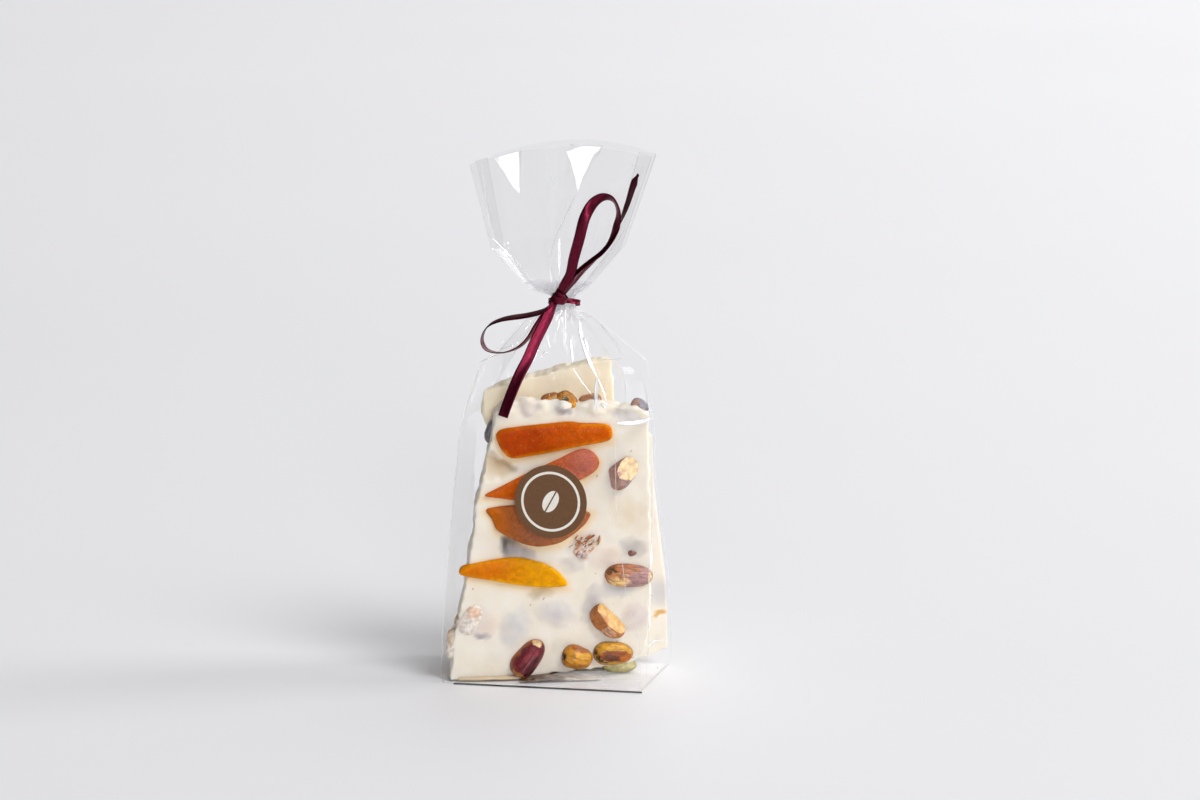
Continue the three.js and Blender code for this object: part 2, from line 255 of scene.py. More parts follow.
# The same on the right wall, at shares of the way from front to back and heights
RIGHT_CREASES = (
    (0.25, ((0.15, 2), (0.27, 20), (0.42, 38), (0.5, 60), (0.5, 103))),
    (2, ((0, 107.6), (0.15, 106.5), (0.33, 105.6), (0.55, 105.2))),
    (0.9, ((0.58, 105.2), (0.6, 107.5), (0.62, 111))),
    (0.9, ((0.26, 16), (0.37, 16.4), (0.49, 15.7), (0.77, 12.8))),
)

# Front edge of the bag's bottom
SEAM_LENGTH = 75.4
SEAM_TURN = math.radians(3.87)
SEAM_MIDDLE = (1.6, -24.5, 0.4)
SEAM_SECTION = (0.5, 0.6)
SEAM_ROUNDING = 0.12

# Top edge, in X and Z, of the film that lies folded in front of the contents at the bag's bottom
BOTTOM_FOLD = (
    (-36, 1.3), (-25, 1.8), (-5.3, 3), (0.7, 5.3), (6.7, 7.2), (14, 8), (22.7, 8.4), (31, 8.2), (38.6, 8),
)
BOTTOM_FOLD_FOOT = 0.9
BOTTOM_FOLD_GAP = 0.3
BOTTOM_FOLD_ROWS = 9
BOTTOM_FOLD_COLUMNS = 120

# Seal
SEAL_RADIUS = 14.5
SEAL_THICKNESS = 0.3
SEAL_CENTRE = (2.6, 75.4)
SEAL_GAP = 0.2
SEAL_RING = (10.9, 11.9)
SEAL_INNER_RINGS = (4.6, 2.2)
BEAN_REACH = (2.9, 4.6)
BEAN_GAP = 0.35
BEAN_TURN = math.radians(-28)
BEAN_THICKNESS = 0.08

# Shards of bark: outline along the shard and up it, thickness, the foot of the outline's zero, and the
# turn about the vertical
SHARD_FINENESS = 0.9
BROKEN_EDGE = 1.6
FRONT_SHARD = {
    "outline": (
        (-0.5, 0.8), (0.6, 9), (0.2, 14), (1.6, 20), (3.6, 28), (5.2, 36), (6.6, 44), (9.2, 60),
        (10.8, 74), (13.8, 84), (16.2, 97), (18, 108.5), (22, 112), (29, 113.6), (36, 112.8), (43, 113.4),
        (51, 111.8), (59, 112), (66, 110), (74, 110), (78.4, 107), (79, 96), (79, 80), (79.8, 60),
        (80.2, 42), (79.2, 20), (77, 9), (70.5, 5.7), (55, 3.4), (41, 2.1), (34, 0.8), (20, 0.6),
    ),
    "thickness": 9, "foot": (-38, -24, 0), "turn": 20,
}
MIDDLE_SHARD = {
    "outline": (
        (6.5, 0.6), (7.5, 30), (12, 60), (17, 86), (17.5, 96), (14.2, 104), (13.6, 108), (13.9, 115.3),
        (36.8, 121), (61.3, 126.4), (65.3, 126.2), (66.5, 110), (68, 70), (66, 30), (67, 0.6),
    ),
    "thickness": 8.5, "foot": (-41.9, -13.2, 0), "turn": 20,
}
CORNER_SHARD = {
    "outline": ((0, 2), (18.4, 7), (18, 34), (14, 66), (11.6, 96), (5, 99), (1, 92), (-0.5, 50)),
    "thickness": 7, "foot": (24, 10.6, 0), "turn": 30,
}
BACK_SHARD = {
    "outline": (
        (0, 0.6), (-0.5, 30), (1.5, 66), (5, 88), (14, 92), (27, 86), (36, 90), (44, 83), (46, 50),
        (44, 20), (46, 0.6),
    ),
    "thickness": 7, "foot": (-37, 11.4, 0), "turn": 3,
}
SIDE_SHARD = {
    "outline": ((0, 0.6), (0, 28), (3, 52), (12, 57), (22, 44), (27, 20), (25, 0.6)),
    "thickness": 7, "foot": (-37.5, 3.2, 0), "turn": 10,
}
# A dark chip that paints the shadow under the front shard's raised edge
SHADOW_CHIP = {
    "outline": ((26, 0.6), (29, 1.6), (38, 2.3), (47, 1.9), (57, 1.1), (64, 0.6)),
    "thickness": 10, "foot": (-35.9, -29.6, 0), "turn": 20,
}
# A strip that paints tan shade along the front shard's foot
FOOT_SHADE = {
    "outline": ((2, 0.6), (3, 2), (29, 2.2), (31, 0.6)),
    "thickness": 4, "foot": (-37.3, -25.9, 0), "turn": 20,
}

# Studio: lights with their directions from the bag, distances and sizes in metres, and powers in watts
SOFT_BOXES = (
    ("overhead_light", (0.35, 1.25, 0.85), 4.2, 5, 90),
    ("front_light", (0.363, -0.9, 0.25), 3, 0.6, 20),
    ("right_light", (0.9, 0.35, 0.4), 3.4, 1, 42),
)
HIGH_LIGHT = (0.606, -0.364, 0.707)
HIGH_LIGHT_DISTANCE = 3
HIGH_LIGHT_POWER = 1.7
HIGH_LIGHT_SPREAD = math.radians(28)
SKY_COLOUR = (0.97, 0.97, 1, 1)
SKY_STRENGTH = 0.12
FLOOR_SIZE = 14


def place_camera():
    """Camera at the photograph's viewing angle"""
    away = Vector((
        math.sin(CAMERA_AZIMUTH) * math.cos(CAMERA_ELEVATION),
        -math.cos(CAMERA_AZIMUTH) * math.cos(CAMERA_ELEVATION),
        math.sin(CAMERA_ELEVATION),
    ))
    data = bpy.data.cameras.new("camera")
    data.lens = CAMERA_LENS
    data.sensor_width = CAMERA_SENSOR
    camera = bpy.data.objects.new("camera", data)
    camera.location = (Vector(CAMERA_TARGET) + CAMERA_DISTANCE * away) * MM
    camera.rotation_euler = away.to_track_quat("Z", "Y").to_euler()
    bpy.context.collection.objects.link(camera)
    bpy.context.scene.camera = camera


def linear(code, alpha=1.0):
    """An sRGB hex colour as linear red, green, blue and alpha"""
    channels = [int(code[i:i + 2], 16) / 255 for i in (1, 3, 5)]
    return (*[c / 12.92 if c <= 0.04045 else ((c + 0.055) / 1.055) ** 2.4 for c in channels], alpha)


def add(tree, kind, sockets=None, stops=(), **settings):
    """A new shader node. sockets gives an input, by name or number, a value or the output that feeds it"""
    made = tree.nodes.new("ShaderNode" + kind)
    for name, value in settings.items():
        setattr(made, name, value)
    for i, (place, code) in enumerate(stops):
        element = made.color_ramp.elements[i] if i < 2 else made.color_ramp.elements.new(place)
        element.position = place
        element.color = linear(code)
    for name, value in (sockets or {}).items():
        if isinstance(value, bpy.types.NodeSocket):
            tree.links.new(value, made.inputs[name])
        else:
            made.inputs[name].default_value = value
    return made


def new_material(name):
    """A material with an empty node tree, and the tree"""
    made = bpy.data.materials.new(name)
    made.use_nodes = True
    made.node_tree.nodes.clear()
    return made, made.node_tree


def clear_film():
    """Oriented polypropylene film, cast and stretched: colourless and mirror smooth, it shows by the
    lights that its folds reflect and by a grey edge where it is seen along its surface"""
    made, tree = new_material("clear_polypropylene_film")
    edge = add(tree, "LayerWeight", {"Blend": 0.5})
    steep = add(tree, "Math", {0: edge.outputs["Facing"], 1: 5.0}, operation="POWER")
    # The taut lower walls mirror less than the crumpled shoulder and fan
    place = add(tree, "SeparateXYZ", {0: add(tree, "TexCoord").outputs["Object"]})
    least = add(tree, "MapRange", {
        "Value": place.outputs["Z"], "From Min": MIRROR_SPAN[0] * MM, "From Max": MIRROR_SPAN[1] * MM,
        "To Min": 0.001, "To Max": 0.015})
    share = add(tree, "MapRange", {
        "Value": steep.outputs[0], "To Min": least.outputs[0], "To Max": 0.35})
    # The fan's walls, which lie close together, let a little less light through
    passed = add(tree, "MapRange", {
        "Value": place.outputs["Z"], "From Min": DIM_SPAN[0] * MM, "From Max": DIM_SPAN[1] * MM,
        "To Min": 0.998, "To Max": 0.986})
    through = add(tree, "BsdfTransparent", {"Color": passed.outputs[0]})
    gloss = add(tree, "BsdfGlossy", {"Color": (1, 1, 1, 1), "Roughness": 0.06})
    both = add(tree, "MixShader", {0: share.outputs[0], 1: through.outputs[0], 2: gloss.outputs[0]})
    add(tree, "OutputMaterial", {"Surface": both.outputs[0]})
    return made


def creased_film(name, least, most, gloss, stretch=(1, 1, 1), fade=None):
    """The same film where it is creased or gathered: cloudy white by a share between least and most, which
    along the hard creases is painted highlight, mirroring by a share of gloss, and else clear, in streaks
    where it is drawn out. fade gives a height where it is whitest and how far off it is clear."""
    made, tree = new_material(name)
    place = add(tree, "TexCoord")
    drawn = add(tree, "Mapping", {"Vector": place.outputs["Object"], "Scale": stretch})
    cloud = add(tree, "TexNoise", {"Vector": drawn.outputs[0], "Scale": 1 / (3 * MM), "Detail": 3.0})
    share = add(tree, "MapRange", {"Value": cloud.outputs["Fac"], "From Min": 0.3, "From Max": 0.6,
                                   "To Min": least, "To Max": most})
    if fade:
        height = add(tree, "SeparateXYZ", {0: place.outputs["Object"]}).outputs["Z"]
        off = add(tree, "MapRange", {"Value": height, "From Min": (fade[0] - fade[1]) * MM,
                                     "From Max": (fade[0] + fade[1]) * MM, "To Min": -1, "To Max": 1})
        near = add(tree, "Math", {0: off.outputs[0], 1: off.outputs[0]}, operation="MULTIPLY")
        left = add(tree, "MapRange", {"Value": near.outputs[0], "To Min": 1, "To Max": 0})
        share = add(tree, "Math", {0: share.outputs[0], 1: left.outputs[0]}, operation="MULTIPLY")
    through = add(tree, "BsdfTransparent", {"Color": (0.996, 0.996, 0.998, 1)})
    white = add(tree, "BsdfPrincipled", {"Base Color": linear("#fdfdff"), "Roughness": 0.5})
    cloudy = add(tree, "MixShader", {0: share.outputs[0], 1: through.outputs[0], 2: white.outputs[0]})
    shine = add(tree, "BsdfGlossy", {"Color": (1, 1, 1, 1), "Roughness": 0.25})
    both = add(tree, "MixShader", {0: gloss, 1: cloudy.outputs[0], 2: shine.outputs[0]})
    add(tree, "OutputMaterial", {"Surface": both.outputs[0]})
    return made


def two_toned(name, stops, size, detail, roughness, tooth=0):
    """A plain material in two close tones, in patches of a size, with a tooth of a height if it has one"""
    made, tree = new_material(name)
    place = add(tree, "TexCoord")
    patchy = add(tree, "TexNoise", {
        "Vector": place.outputs["Object"], "Scale": 1 / (size * MM), "Detail": detail})
    tone = add(tree, "ValToRGB", {"Fac": patchy.outputs["Fac"]}, stops=stops)
    body = add(tree, "BsdfPrincipled", {"Base Color": tone.outputs[0], "Roughness": roughness})
    if tooth:
        bump = add(tree, "Bump", {"Height": patchy.outputs["Fac"], "Strength": 0.15, "Distance": tooth * MM})
        tree.links.new(bump.outputs[0], body.inputs["Normal"])
    add(tree, "OutputMaterial", {"Surface": body.outputs[0]})
    return made


def satin_ribbon():
    """Woven polyester satin: long floats of yarn run along the ribbon, so that it is dark across most of
    its length and flares pink where it turns to the light. Both edges have a corded selvedge."""
    made, tree = new_material("woven_satin_ribbon")
    uv = add(tree, "UVMap", uv_map="weave")
    parts = add(tree, "SeparateXYZ", {0: uv.outputs[0]})
    # Across the ribbon U runs from 0 to 1, and along it V counts millimetres
    from_edge = add(tree, "Math", {0: parts.outputs["X"], 1: 0.5}, operation="PINGPONG")
    edge = add(tree, "MapRange", {"Value": from_edge.outputs[0], "From Max": 0.09, "To Min": 1, "To Max": 0})
    # Selvedge stitches 0.9 mm apart and yarns 0.35 mm apart, a few times coarser than the real weave
    stitch = add(tree, "TexWave", {
        "Vector": uv.outputs[0], "Scale": 2 * math.pi / 20 / 0.9, "Distortion": 0.6},
        bands_direction="Y", wave_profile="SIN")
    yarn = add(tree, "TexNoise", {"Vector": add(
        tree, "Mapping", {"Vector": uv.outputs[0], "Scale": (12, 0.5, 1)}).outputs[0],
        "Scale": 1.0, "Detail": 3.0})
    ticks = add(tree, "Math", {0: edge.outputs[0], 1: stitch.outputs["Fac"]}, operation="MULTIPLY")
    shade = add(tree, "ValToRGB", {"Fac": yarn.outputs["Fac"]}, stops=((0.3, "#520c1e"), (0.7, "#6e1e36")))
    colour = add(tree, "Mix", {0: ticks.outputs[0], 6: shade.outputs[0], 7: linear("#2e0a14")},
                 data_type="RGBA")
    height = add(tree, "Math", {0: yarn.outputs["Fac"], 1: ticks.outputs[0]}, operation="ADD")
    bump = add(tree, "Bump", {"Height": height.outputs[0], "Strength": 0.25, "Distance": 0.05 * MM})
    cloth = add(tree, "BsdfPrincipled", {
        "Base Color": colour.outputs[2], "Metallic": 0.95, "Roughness": 0.33, "Normal": bump.outputs[0],
    })
    add(tree, "OutputMaterial", {"Surface": cloth.outputs[0]})
    return made


def white_chocolate():
    """White chocolate, poured and broken: ivory, a little translucent and waxy, greyer or pinker where
    a nut lies just under it. The colour attribute holds those tints, and also painted light and shade:
    the warm glow beside the fruit and in the middle shard, and the shade in the hollow, under the front
    shard's raised edge and along its foot."""
    made, tree = new_material("white_chocolate")
    place = add(tree, "TexCoord")
    tints_and_painted_light = add(tree, "VertexColor", layer_name="tints_and_painted_light")
    # Clouding about 9 mm across, and fine specks of about 1 mm
    cloud = add(tree, "TexNoise", {"Vector": place.outputs["Object"], "Scale": 1 / (9 * MM), "Detail": 4.0})
    tone = add(tree, "ValToRGB", {"Fac": cloud.outputs["Fac"]}, stops=((0.3, "#f1e7d6"), (0.7, "#f6efe3")))
    speck = add(tree, "TexNoise", {
        "Vector": place.outputs["Object"], "Scale": 1 / (1.1 * MM), "Detail": 2.0})
    colour = add(tree, "Mix", {0: 1.0, 6: tone.outputs[0], 7: tints_and_painted_light.outputs["Color"]},
                 data_type="RGBA", blend_type="MULTIPLY")
    height = add(tree, "Math", {0: cloud.outputs["Fac"], 1: speck.outputs["Fac"]}, operation="ADD")
    bump = add(tree, "Bump", {"Height": height.outputs[0], "Strength": 0.2, "Distance": 0.3 * MM})
    body = add(tree, "BsdfPrincipled", {
        "Base Color": colour.outputs[2], "Roughness": 0.42, "IOR": 1.45, "Normal": bump.outputs[0],
        "Subsurface Weight": 0.35, "Subsurface Radius": (1.0, 0.75, 0.45), "Subsurface Scale": 3 * MM,
    })
    add(tree, "OutputMaterial", {"Surface": body.outputs[0]})
    return made


def nut_kernel():
    """Roasted pistachio kernel: a thin papery skin, wine red to tan, that wrinkles along the nut and
    shines a little with its own oil. The colour attribute skin holds each nut's colours."""
    made, tree = new_material("roasted_pistachio_kernel")
    skin = add(tree, "VertexColor", layer_name="skin")
    uv = add(tree, "UVMap", uv_map="UVMap")
    # Wrinkles run the length of the nut, about 0.8 mm apart, with fine pale veins between them
    streak = add(tree, "TexNoise", {"Vector": add(
        tree, "Mapping", {"Vector": uv.outputs[0], "Scale": (40, 6, 1)}).outputs[0],
        "Scale": 1.0, "Detail": 5.0, "Distortion": 0.8})
    place = add(tree, "TexCoord")
    mottle = add(tree, "TexNoise", {
        "Vector": place.outputs["Object"], "Scale": 1 / (1.6 * MM), "Detail": 3.0})
    dark = add(tree, "MapRange", {
        "Value": streak.outputs["Fac"], "From Min": 0.36, "From Max": 0.6, "To Min": 0.62, "To Max": 1.1})
    vein = add(tree, "Math", {0: streak.outputs["Fac"], 1: 0.52, 2: 0.018}, operation="COMPARE")
    veined = add(tree, "Math", {0: vein.outputs[0], 1: 0.5, 2: dark.outputs[0]}, operation="MULTIPLY_ADD")
    patch = add(tree, "MapRange", {
        "Value": mottle.outputs["Fac"], "From Min": 0.3, "From Max": 0.65, "To Min": 0.78, "To Max": 1.1})
    both = add(tree, "Math", {0: veined.outputs[0], 1: patch.outputs[0]}, operation="MULTIPLY")
    # A broken face has grain in place of wrinkles: there the attribute's alpha is 0
    grain = add(tree, "MapRange", {
        "Value": mottle.outputs["Fac"], "From Min": 0.35, "From Max": 0.62, "To Min": 0.76, "To Max": 1.12})
    worn = add(tree, "Mix", {0: skin.outputs["Alpha"], 2: grain.outputs[0], 3: both.outputs[0]},
               data_type="FLOAT")
    relief = add(tree, "Mix", {0: skin.outputs["Alpha"], 2: mottle.outputs["Fac"], 3: streak.outputs["Fac"]},
                 data_type="FLOAT")
    colour = add(tree, "Mix", {0: 1.0, 6: skin.outputs["Color"], 7: worn.outputs[0]},
                 data_type="RGBA", blend_type="MULTIPLY")
    bump = add(tree, "Bump", {"Height": relief.outputs[0], "Strength": 0.9, "Distance": 0.45 * MM})
    body = add(tree, "BsdfPrincipled", {
        "Base Color": colour.outputs[2], "Roughness": 0.27, "IOR": 1.47, "Normal": bump.outputs[0],
        "Subsurface Weight": 0.1, "Subsurface Radius": (1.0, 0.5, 0.25), "Subsurface Scale": 1.5 * MM,
    })
    add(tree, "OutputMaterial", {"Surface": body.outputs[0]})
    return made


def dried_apricot():
    """Dried apricot: leathery, sticky flesh that glows orange where light goes through it, wrinkled and
    freckled with sugar. The colour attribute flesh holds each strip's colours."""
    made, tree = new_material("dried_apricot")
    flesh = add(tree, "VertexColor", layer_name="flesh")
    place = add(tree, "TexCoord")
    # Wrinkles about 2.2 mm apart with fine fibres on them, and flecks of 0.4 mm
    wrinkle = add(tree, "TexNoise", {
        "Vector": place.outputs["Object"], "Scale": 1 / (2.2 * MM), "Detail": 7.0, "Roughness": 0.65,
        "Distortion": 0.8})
    grain = add(tree, "TexVoronoi", {"Vector": place.outputs["Object"], "Scale": 1 / (1.3 * MM)})
    depth = add(tree, "MapRange", {
        "Value": wrinkle.outputs["Fac"], "From Min": 0.3, "From Max": 0.68, "To Min": 0.72, "To Max": 1.14})
    colour = add(tree, "Mix", {0: 1.0, 6: flesh.outputs["Color"], 7: depth.outputs[0]},
                 data_type="RGBA", blend_type="MULTIPLY")
    sugar = add(tree, "MapRange", {
        "Value": grain.outputs["Distance"], "From Min": 0.10, "From Max": 0.2, "To Min": 0.4, "To Max": 0})
    sugared = add(tree, "Mix", {0: sugar.outputs[0], 6: colour.outputs[2], 7: linear("#f4b84a")},
                  data_type="RGBA")
    bump = add(tree, "Bump", {"Height": wrinkle.outputs["Fac"], "Strength": 0.22, "Distance": 0.4 * MM})
    body = add(tree, "BsdfPrincipled", {
        "Base Color": sugared.outputs[2], "Roughness": 0.34, "Specular IOR Level": 0.06,
        "Normal": bump.outputs[0],
        "Subsurface Weight": 0.3, "Subsurface Radius": (1.0, 0.35, 0.08), "Subsurface Scale": 2.5 * MM,
    })
    add(tree, "OutputMaterial", {"Surface": body.outputs[0]})
    return made


def brown_paper():
    """Uncoated paper printed brown all over: matt, with the tooth of its fibres"""
    return two_toned("printed_brown_paper", ((0.3, "#654322"), (0.7, "#724c2a")), 0.9, 5.0, 0.55, tooth=0.05)


def cream_ink():
    """Cream ink printed on the seal: flat and matt, a little uneven where the fibres show through"""
    return two_toned("cream_ink", ((0.3, "#efe9dc"), (0.7, "#f8f4ea")), 0.9, 4.0, 0.5)


def painted_edge_shade():
    """Painted shade along the bag's bottom edge: dark and glossy, patchy along its length"""
    return two_toned("bottom_edge_painted_shade", ((0.35, "#2a302d"), (0.65, "#5c625f")), 12, 2.0, 0.3)


def white_board():
    """Painted board under the bag: pale and matt, with hardly a cloud in it"""
    return two_toned("matt_white_board", ((0.3, "#f1f1f4"), (0.7, "#f3f3f6")), 400, 2.0, 0.7)


def select_only(*pieces):
    """Selects these objects alone, the first one active"""
    bpy.ops.object.select_all(action="DESELECT")
    for piece in pieces:
        piece.select_set(True)
    bpy.context.view_layer.objects.active = pieces[0]


def finish_with(piece, kind, **settings):
    """Adds a modifier to a piece and applies it"""
    select_only(piece)
    modifier = piece.modifiers.new(kind.lower(), kind)
    for name, value in settings.items():
        setattr(modifier, name, value)
    bpy.ops.object.modifier_apply(modifier=modifier.name)


def joined(pieces, name):
    """The pieces as one object of that name"""
    select_only(*pieces)
    bpy.ops.object.join()
    whole = bpy.context.object
    whole.name = name
    whole.data.name = name
    return whole


def dress(piece, finish, slot, *nodes):
    """Gives a piece its material, and lets it stand for the CAD nodes. slot is not used."""
    if finish:
        piece.data.materials.clear()
        piece.data.materials.append(finish)
    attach(piece, "root")
    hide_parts(*nodes)


def mesh_piece(name, points, faces):
    """An object of points in millimetres and faces, shaded smooth"""
    data = bpy.data.meshes.new(name)
    data.from_pydata((np.asarray(points, float) * MM).tolist(), [], faces)
    data.validate()
    piece = bpy.data.objects.new(name, data)
    bpy.context.collection.objects.link(piece)
    data.polygons.foreach_set("use_smooth", [True] * len(data.polygons))
    return piece


def positions(piece):
    """Places of a piece's points, in millimetres"""
    places = np.empty(len(piece.data.vertices) * 3)
    piece.data.vertices.foreach_get("co", places)
    return places.reshape(-1, 3) / MM


def move_points(piece, places):
    """Puts a piece's points at these places, in millimetres"""
    piece.data.vertices.foreach_set("co", (np.asarray(places) * MM).ravel())
    piece.data.update()


@contextmanager
def edit_mode():
    """Edit mode with all of the active piece selected, and object mode again after it"""
    bpy.ops.object.mode_set(mode="EDIT")
    bpy.ops.mesh.select_all(action="SELECT")
    yield
    bpy.ops.object.mode_set(mode="OBJECT")


def ring_faces(count, size, loop=True, closed=False):
    """Faces between rings of points, one after another. A ring that is a loop joins its last point to its
    first, and closed joins the last ring to the first one."""
    faces = []
    for row in range(count if closed else count - 1):
        start, above = row * size, (row + 1) % count * size
        faces += [(start + i, start + (i + 1) % size, above + (i + 1) % size, above + i)
                  for i in range(size if loop else size - 1)]
    return faces


def tube_faces(count, size, first=0):
    """Faces of a tube of rings with both ends capped, counted from its first point"""
    ends = [tuple(range(size))[::-1], tuple(range((count - 1) * size, count * size))]
    return [tuple(first + corner for corner in face) for face in ring_faces(count, size) + ends]


def mixed(colours, share, other):
    """Colours drawn towards another, by a share for each point"""
    share = np.clip(share, 0, 1)[:, None]
    return colours * (1 - share) + share * np.array(other)


def paint(piece, name, colours):
    """Writes a colour for each point of a piece to a colour attribute"""
    layer = piece.data.color_attributes.new(name, "FLOAT_COLOR", "POINT")
    layer.data.foreach_set("color", np.asarray(colours, float).ravel())


def rumple(places, size, seed):
    """Smooth noise between about -1 and 1 at each place, of a size in millimetres"""
    shift = Vector((seed * 7.13, seed * 3.71, seed * 5.37))
    return np.array([noise.noise(Vector(p) / size + shift) for p in places]) * NOISE_GAIN


def smooth_route(points, step):
    """Points a step apart on the centripetal Catmull-Rom curve through these points"""
    ends = np.array(points, float)
    ends = np.vstack([2 * ends[0] - ends[1], ends, 2 * ends[-1] - ends[-2]])
    knots = np.concatenate([[0], np.cumsum(np.linalg.norm(np.diff(ends, axis=0), axis=1) ** 0.5)])
    dense = []
    for i in range(1, len(ends) - 2):
        t0, t1, t2, t3 = knots[i - 1:i + 3]
        p0, p1, p2, p3 = ends[i - 1:i + 3]
        t = np.linspace(t1, t2, 40, endpoint=i == len(ends) - 3)[:, None]
        a1 = ((t1 - t) * p0 + (t - t0) * p1) / (t1 - t0)
        a2 = ((t2 - t) * p1 + (t - t1) * p2) / (t2 - t1)
        a3 = ((t3 - t) * p2 + (t - t2) * p3) / (t3 - t2)
        b1 = ((t2 - t) * a1 + (t - t0) * a2) / (t2 - t0)
        b2 = ((t3 - t) * a2 + (t - t1) * a3) / (t3 - t1)
        dense.append(((t2 - t) * b1 + (t - t1) * b2) / (t2 - t1))
    dense = np.vstack(dense)
    run = np.concatenate([[0], np.cumsum(np.linalg.norm(np.diff(dense, axis=0), axis=1))])
    places = np.linspace(0, run[-1], max(8, round(run[-1] / step)) + 1)
    return np.stack([np.interp(places, run, dense[:, axis]) for axis in range(3)], axis=1)


def ribbon_strip(name, route, across, width=RIBBON_WIDTH, point=0, slant=0, knots=0, closed=False):
    """A ribbon with its middle on a route. across lists directions of its width, spread evenly over the
    route. Its far end tapers to a point over a length, or is cut off at a slant. It is pinched where it
    leaves the knot, at its first end or at both."""
    count = len(route)
    tangents = np.gradient(route, axis=0)
    if closed:
        tangents = np.roll(route, -1, axis=0) - np.roll(route, 1, axis=0)
    tangents /= np.linalg.norm(tangents, axis=1)[:, None]
    spread = np.linspace(0, len(across) - 1, count)
    widths = np.stack([np.interp(spread, range(len(across)), [d[axis] for d in across])
                       for axis in range(3)], axis=1)
    widths -= np.sum(widths * tangents, axis=1)[:, None] * tangents
    widths /= np.linalg.norm(widths, axis=1)[:, None]
    faces_out = np.cross(tangents, widths)
    run = np.concatenate([[0], np.cumsum(np.linalg.norm(np.diff(route, axis=0), axis=1))])
    u = np.linspace(-1, 1, RIBBON_COLUMNS)
    thin = RIBBON_THICKNESS / 2 * np.sqrt(np.maximum(0, 1 - u ** 8) * 0.75 + 0.25)
    cup = RIBBON_CUP * (u ** 2 - 0.4)
    ring_u = np.concatenate([u, u[::-1]])
    ring_v = np.concatenate([cup + thin, (cup - thin)[::-1]])
    size = len(ring_u)
    reach = np.full(count, width / 2)
    if knots:
        from_knot = np.minimum(run, run[-1] - run) if knots == 2 else run
        reach *= np.clip(PINCH_WIDTH + (1 - PINCH_WIDTH) * from_knot / PINCH_LENGTH, 0, 1)
    if point:
        reach *= np.clip((run[-1] - run) / point, POINT_WIDTH, 1)
    points = (route[:, None] + widths[:, None] * (reach[:, None] * ring_u)[:, :, None]
              + faces_out[:, None] * ring_v[None, :, None])
    if slant:
        # The cut end slants back on one edge
        ease = np.clip(1 - (run[-1] - run) / (2 * slant), 0, 1)
        back = ease[:, None] * slant * (ring_u[None] + 1) / 2
        points = points - tangents[:, None] * back[:, :, None]
    points = points.reshape(-1, 3)
    faces = ring_faces(count, size, closed=True) if closed else tube_faces(count, size)
    strip = mesh_piece(name, points, faces)
    layer = strip.data.uv_layers.new(name="weave")
    flat = np.stack(np.broadcast_arrays((ring_u[None] + 1) / 2, run[:, None]), axis=-1).reshape(-1, 2)
    corners = np.empty(len(strip.data.loops), int)
    strip.data.loops.foreach_get("vertex_index", corners)
    layer.data.foreach_set("uv", flat[corners].ravel())
    return strip


def tie_stretch(name, points, across, far_end, finish, **cut):
    """One free stretch of the ribbon along its route"""
    route = smooth_route(points, RIBBON_STEP)
    strip = ribbon_strip(name, route, across, **cut)
    dress(strip, finish, "satin_ribbon", "ribbon")


def ellipse_route(centre, first, second, count):
    """Points round an ellipse, given its two half axes as vectors"""
    turn = np.linspace(0, 2 * math.pi, count, endpoint=False)[:, None]
    return np.array(centre) + np.cos(turn) * np.array(first) + np.sin(turn) * np.array(second)


def tie_knot(finish):
    """The ribbon's turn round the neck, and the turn across the bow that makes its knot"""
    back = np.array((0, math.cos(BAND_TILT), -math.sin(BAND_TILT)))
    upright = (0, math.sin(BAND_TILT), math.cos(BAND_TILT))
    band_route = ellipse_route(BAND_CENTRE, (BAND_RADII[0], 0, 0), back * BAND_RADII[1], BAND_POINTS)
    band = ribbon_strip("band", band_route, [upright, upright], BAND_WIDTH, closed=True)
    along = np.array((math.sin(KNOT_LEAN), 0, math.cos(KNOT_LEAN)))
    across = np.array((math.cos(KNOT_LEAN), 0, -math.sin(KNOT_LEAN)))
    turns = []
    for lift, reach, proud, tilt in KNOT_TURNS:
        route = ellipse_route(
            np.array(KNOT_CENTRE) + lift * along, across * reach + along * tilt * reach, (0, proud, 0),
            KNOT_TURN_POINTS)
        turns.append(ribbon_strip("turn", route, [along, along], KNOT_TURN_WIDTH, closed=True))
    bpy.ops.mesh.primitive_uv_sphere_add(segments=24, ring_count=16, radius=1)
    core = bpy.context.object
    core.data.uv_layers[0].name = "weave"
    ball = positions(core) * MM
    wide, deep, high = KNOT_CORE
    move_points(core, np.array(KNOT_CENTRE) + ball @ np.array([across * wide, (0, deep, 0), along * high]))
    bpy.ops.object.shade_smooth()
    knot = joined([band, *turns, core], "ribbon_knot")
    dress(knot, finish, "satin_ribbon", "ribbon")


def section_at(height):
    """Sizes of the bag's cross-section at heights, by straight interpolation"""
    rows = np.array(SECTIONS, float)
    return {size: np.interp(height, rows[:, 0], rows[:, i]) for i, size in enumerate(SECTION_SIZES)}


def zigzag(turns):
    """Triangle wave from 0 at whole turns to 1 between them"""
    return 1 - np.abs(2 * np.mod(turns, 1) - 1)


def broad_wall(section, side, share):
    """X and Y on the front (side -1) or back (side 1), at shares of the way from left to right"""
    right = section["right"] - (section["skew"] if side < 0 else 0)
    bow = section["crown"] * 4 * share * (1 - share)
    turns = GATHERS * share + GATHER_DRIFT * np.sin(4 * math.pi * share)
    out = section["depth"] / 2 + section["splay"] * (1 - 2 * share) + bow - section["gather"] * zigzag(turns)
    if side < 0:
        out = out - section["fold"] * np.maximum(0, 1 - np.abs(share - section["fold_at"]) / FOLD_SPREAD)
    return -section["left"] + (right + section["left"]) * share, side * out


def side_wall(section, side, share):
    """X and Y on the left (side -1) or right (side 1), at shares of the way from front to back"""
    corner = 1.0 if side > 0 else 0.0
    front_x, front_y = broad_wall(section, -1, corner)
    back_x, back_y = broad_wall(section, 1, corner)
    tuck = section["right_tuck" if side > 0 else "left_tuck"] * (1 - np.abs(2 * share - 1))
    return front_x + (back_x - front_x) * share - side * tuck, front_y + (back_y - front_y) * share


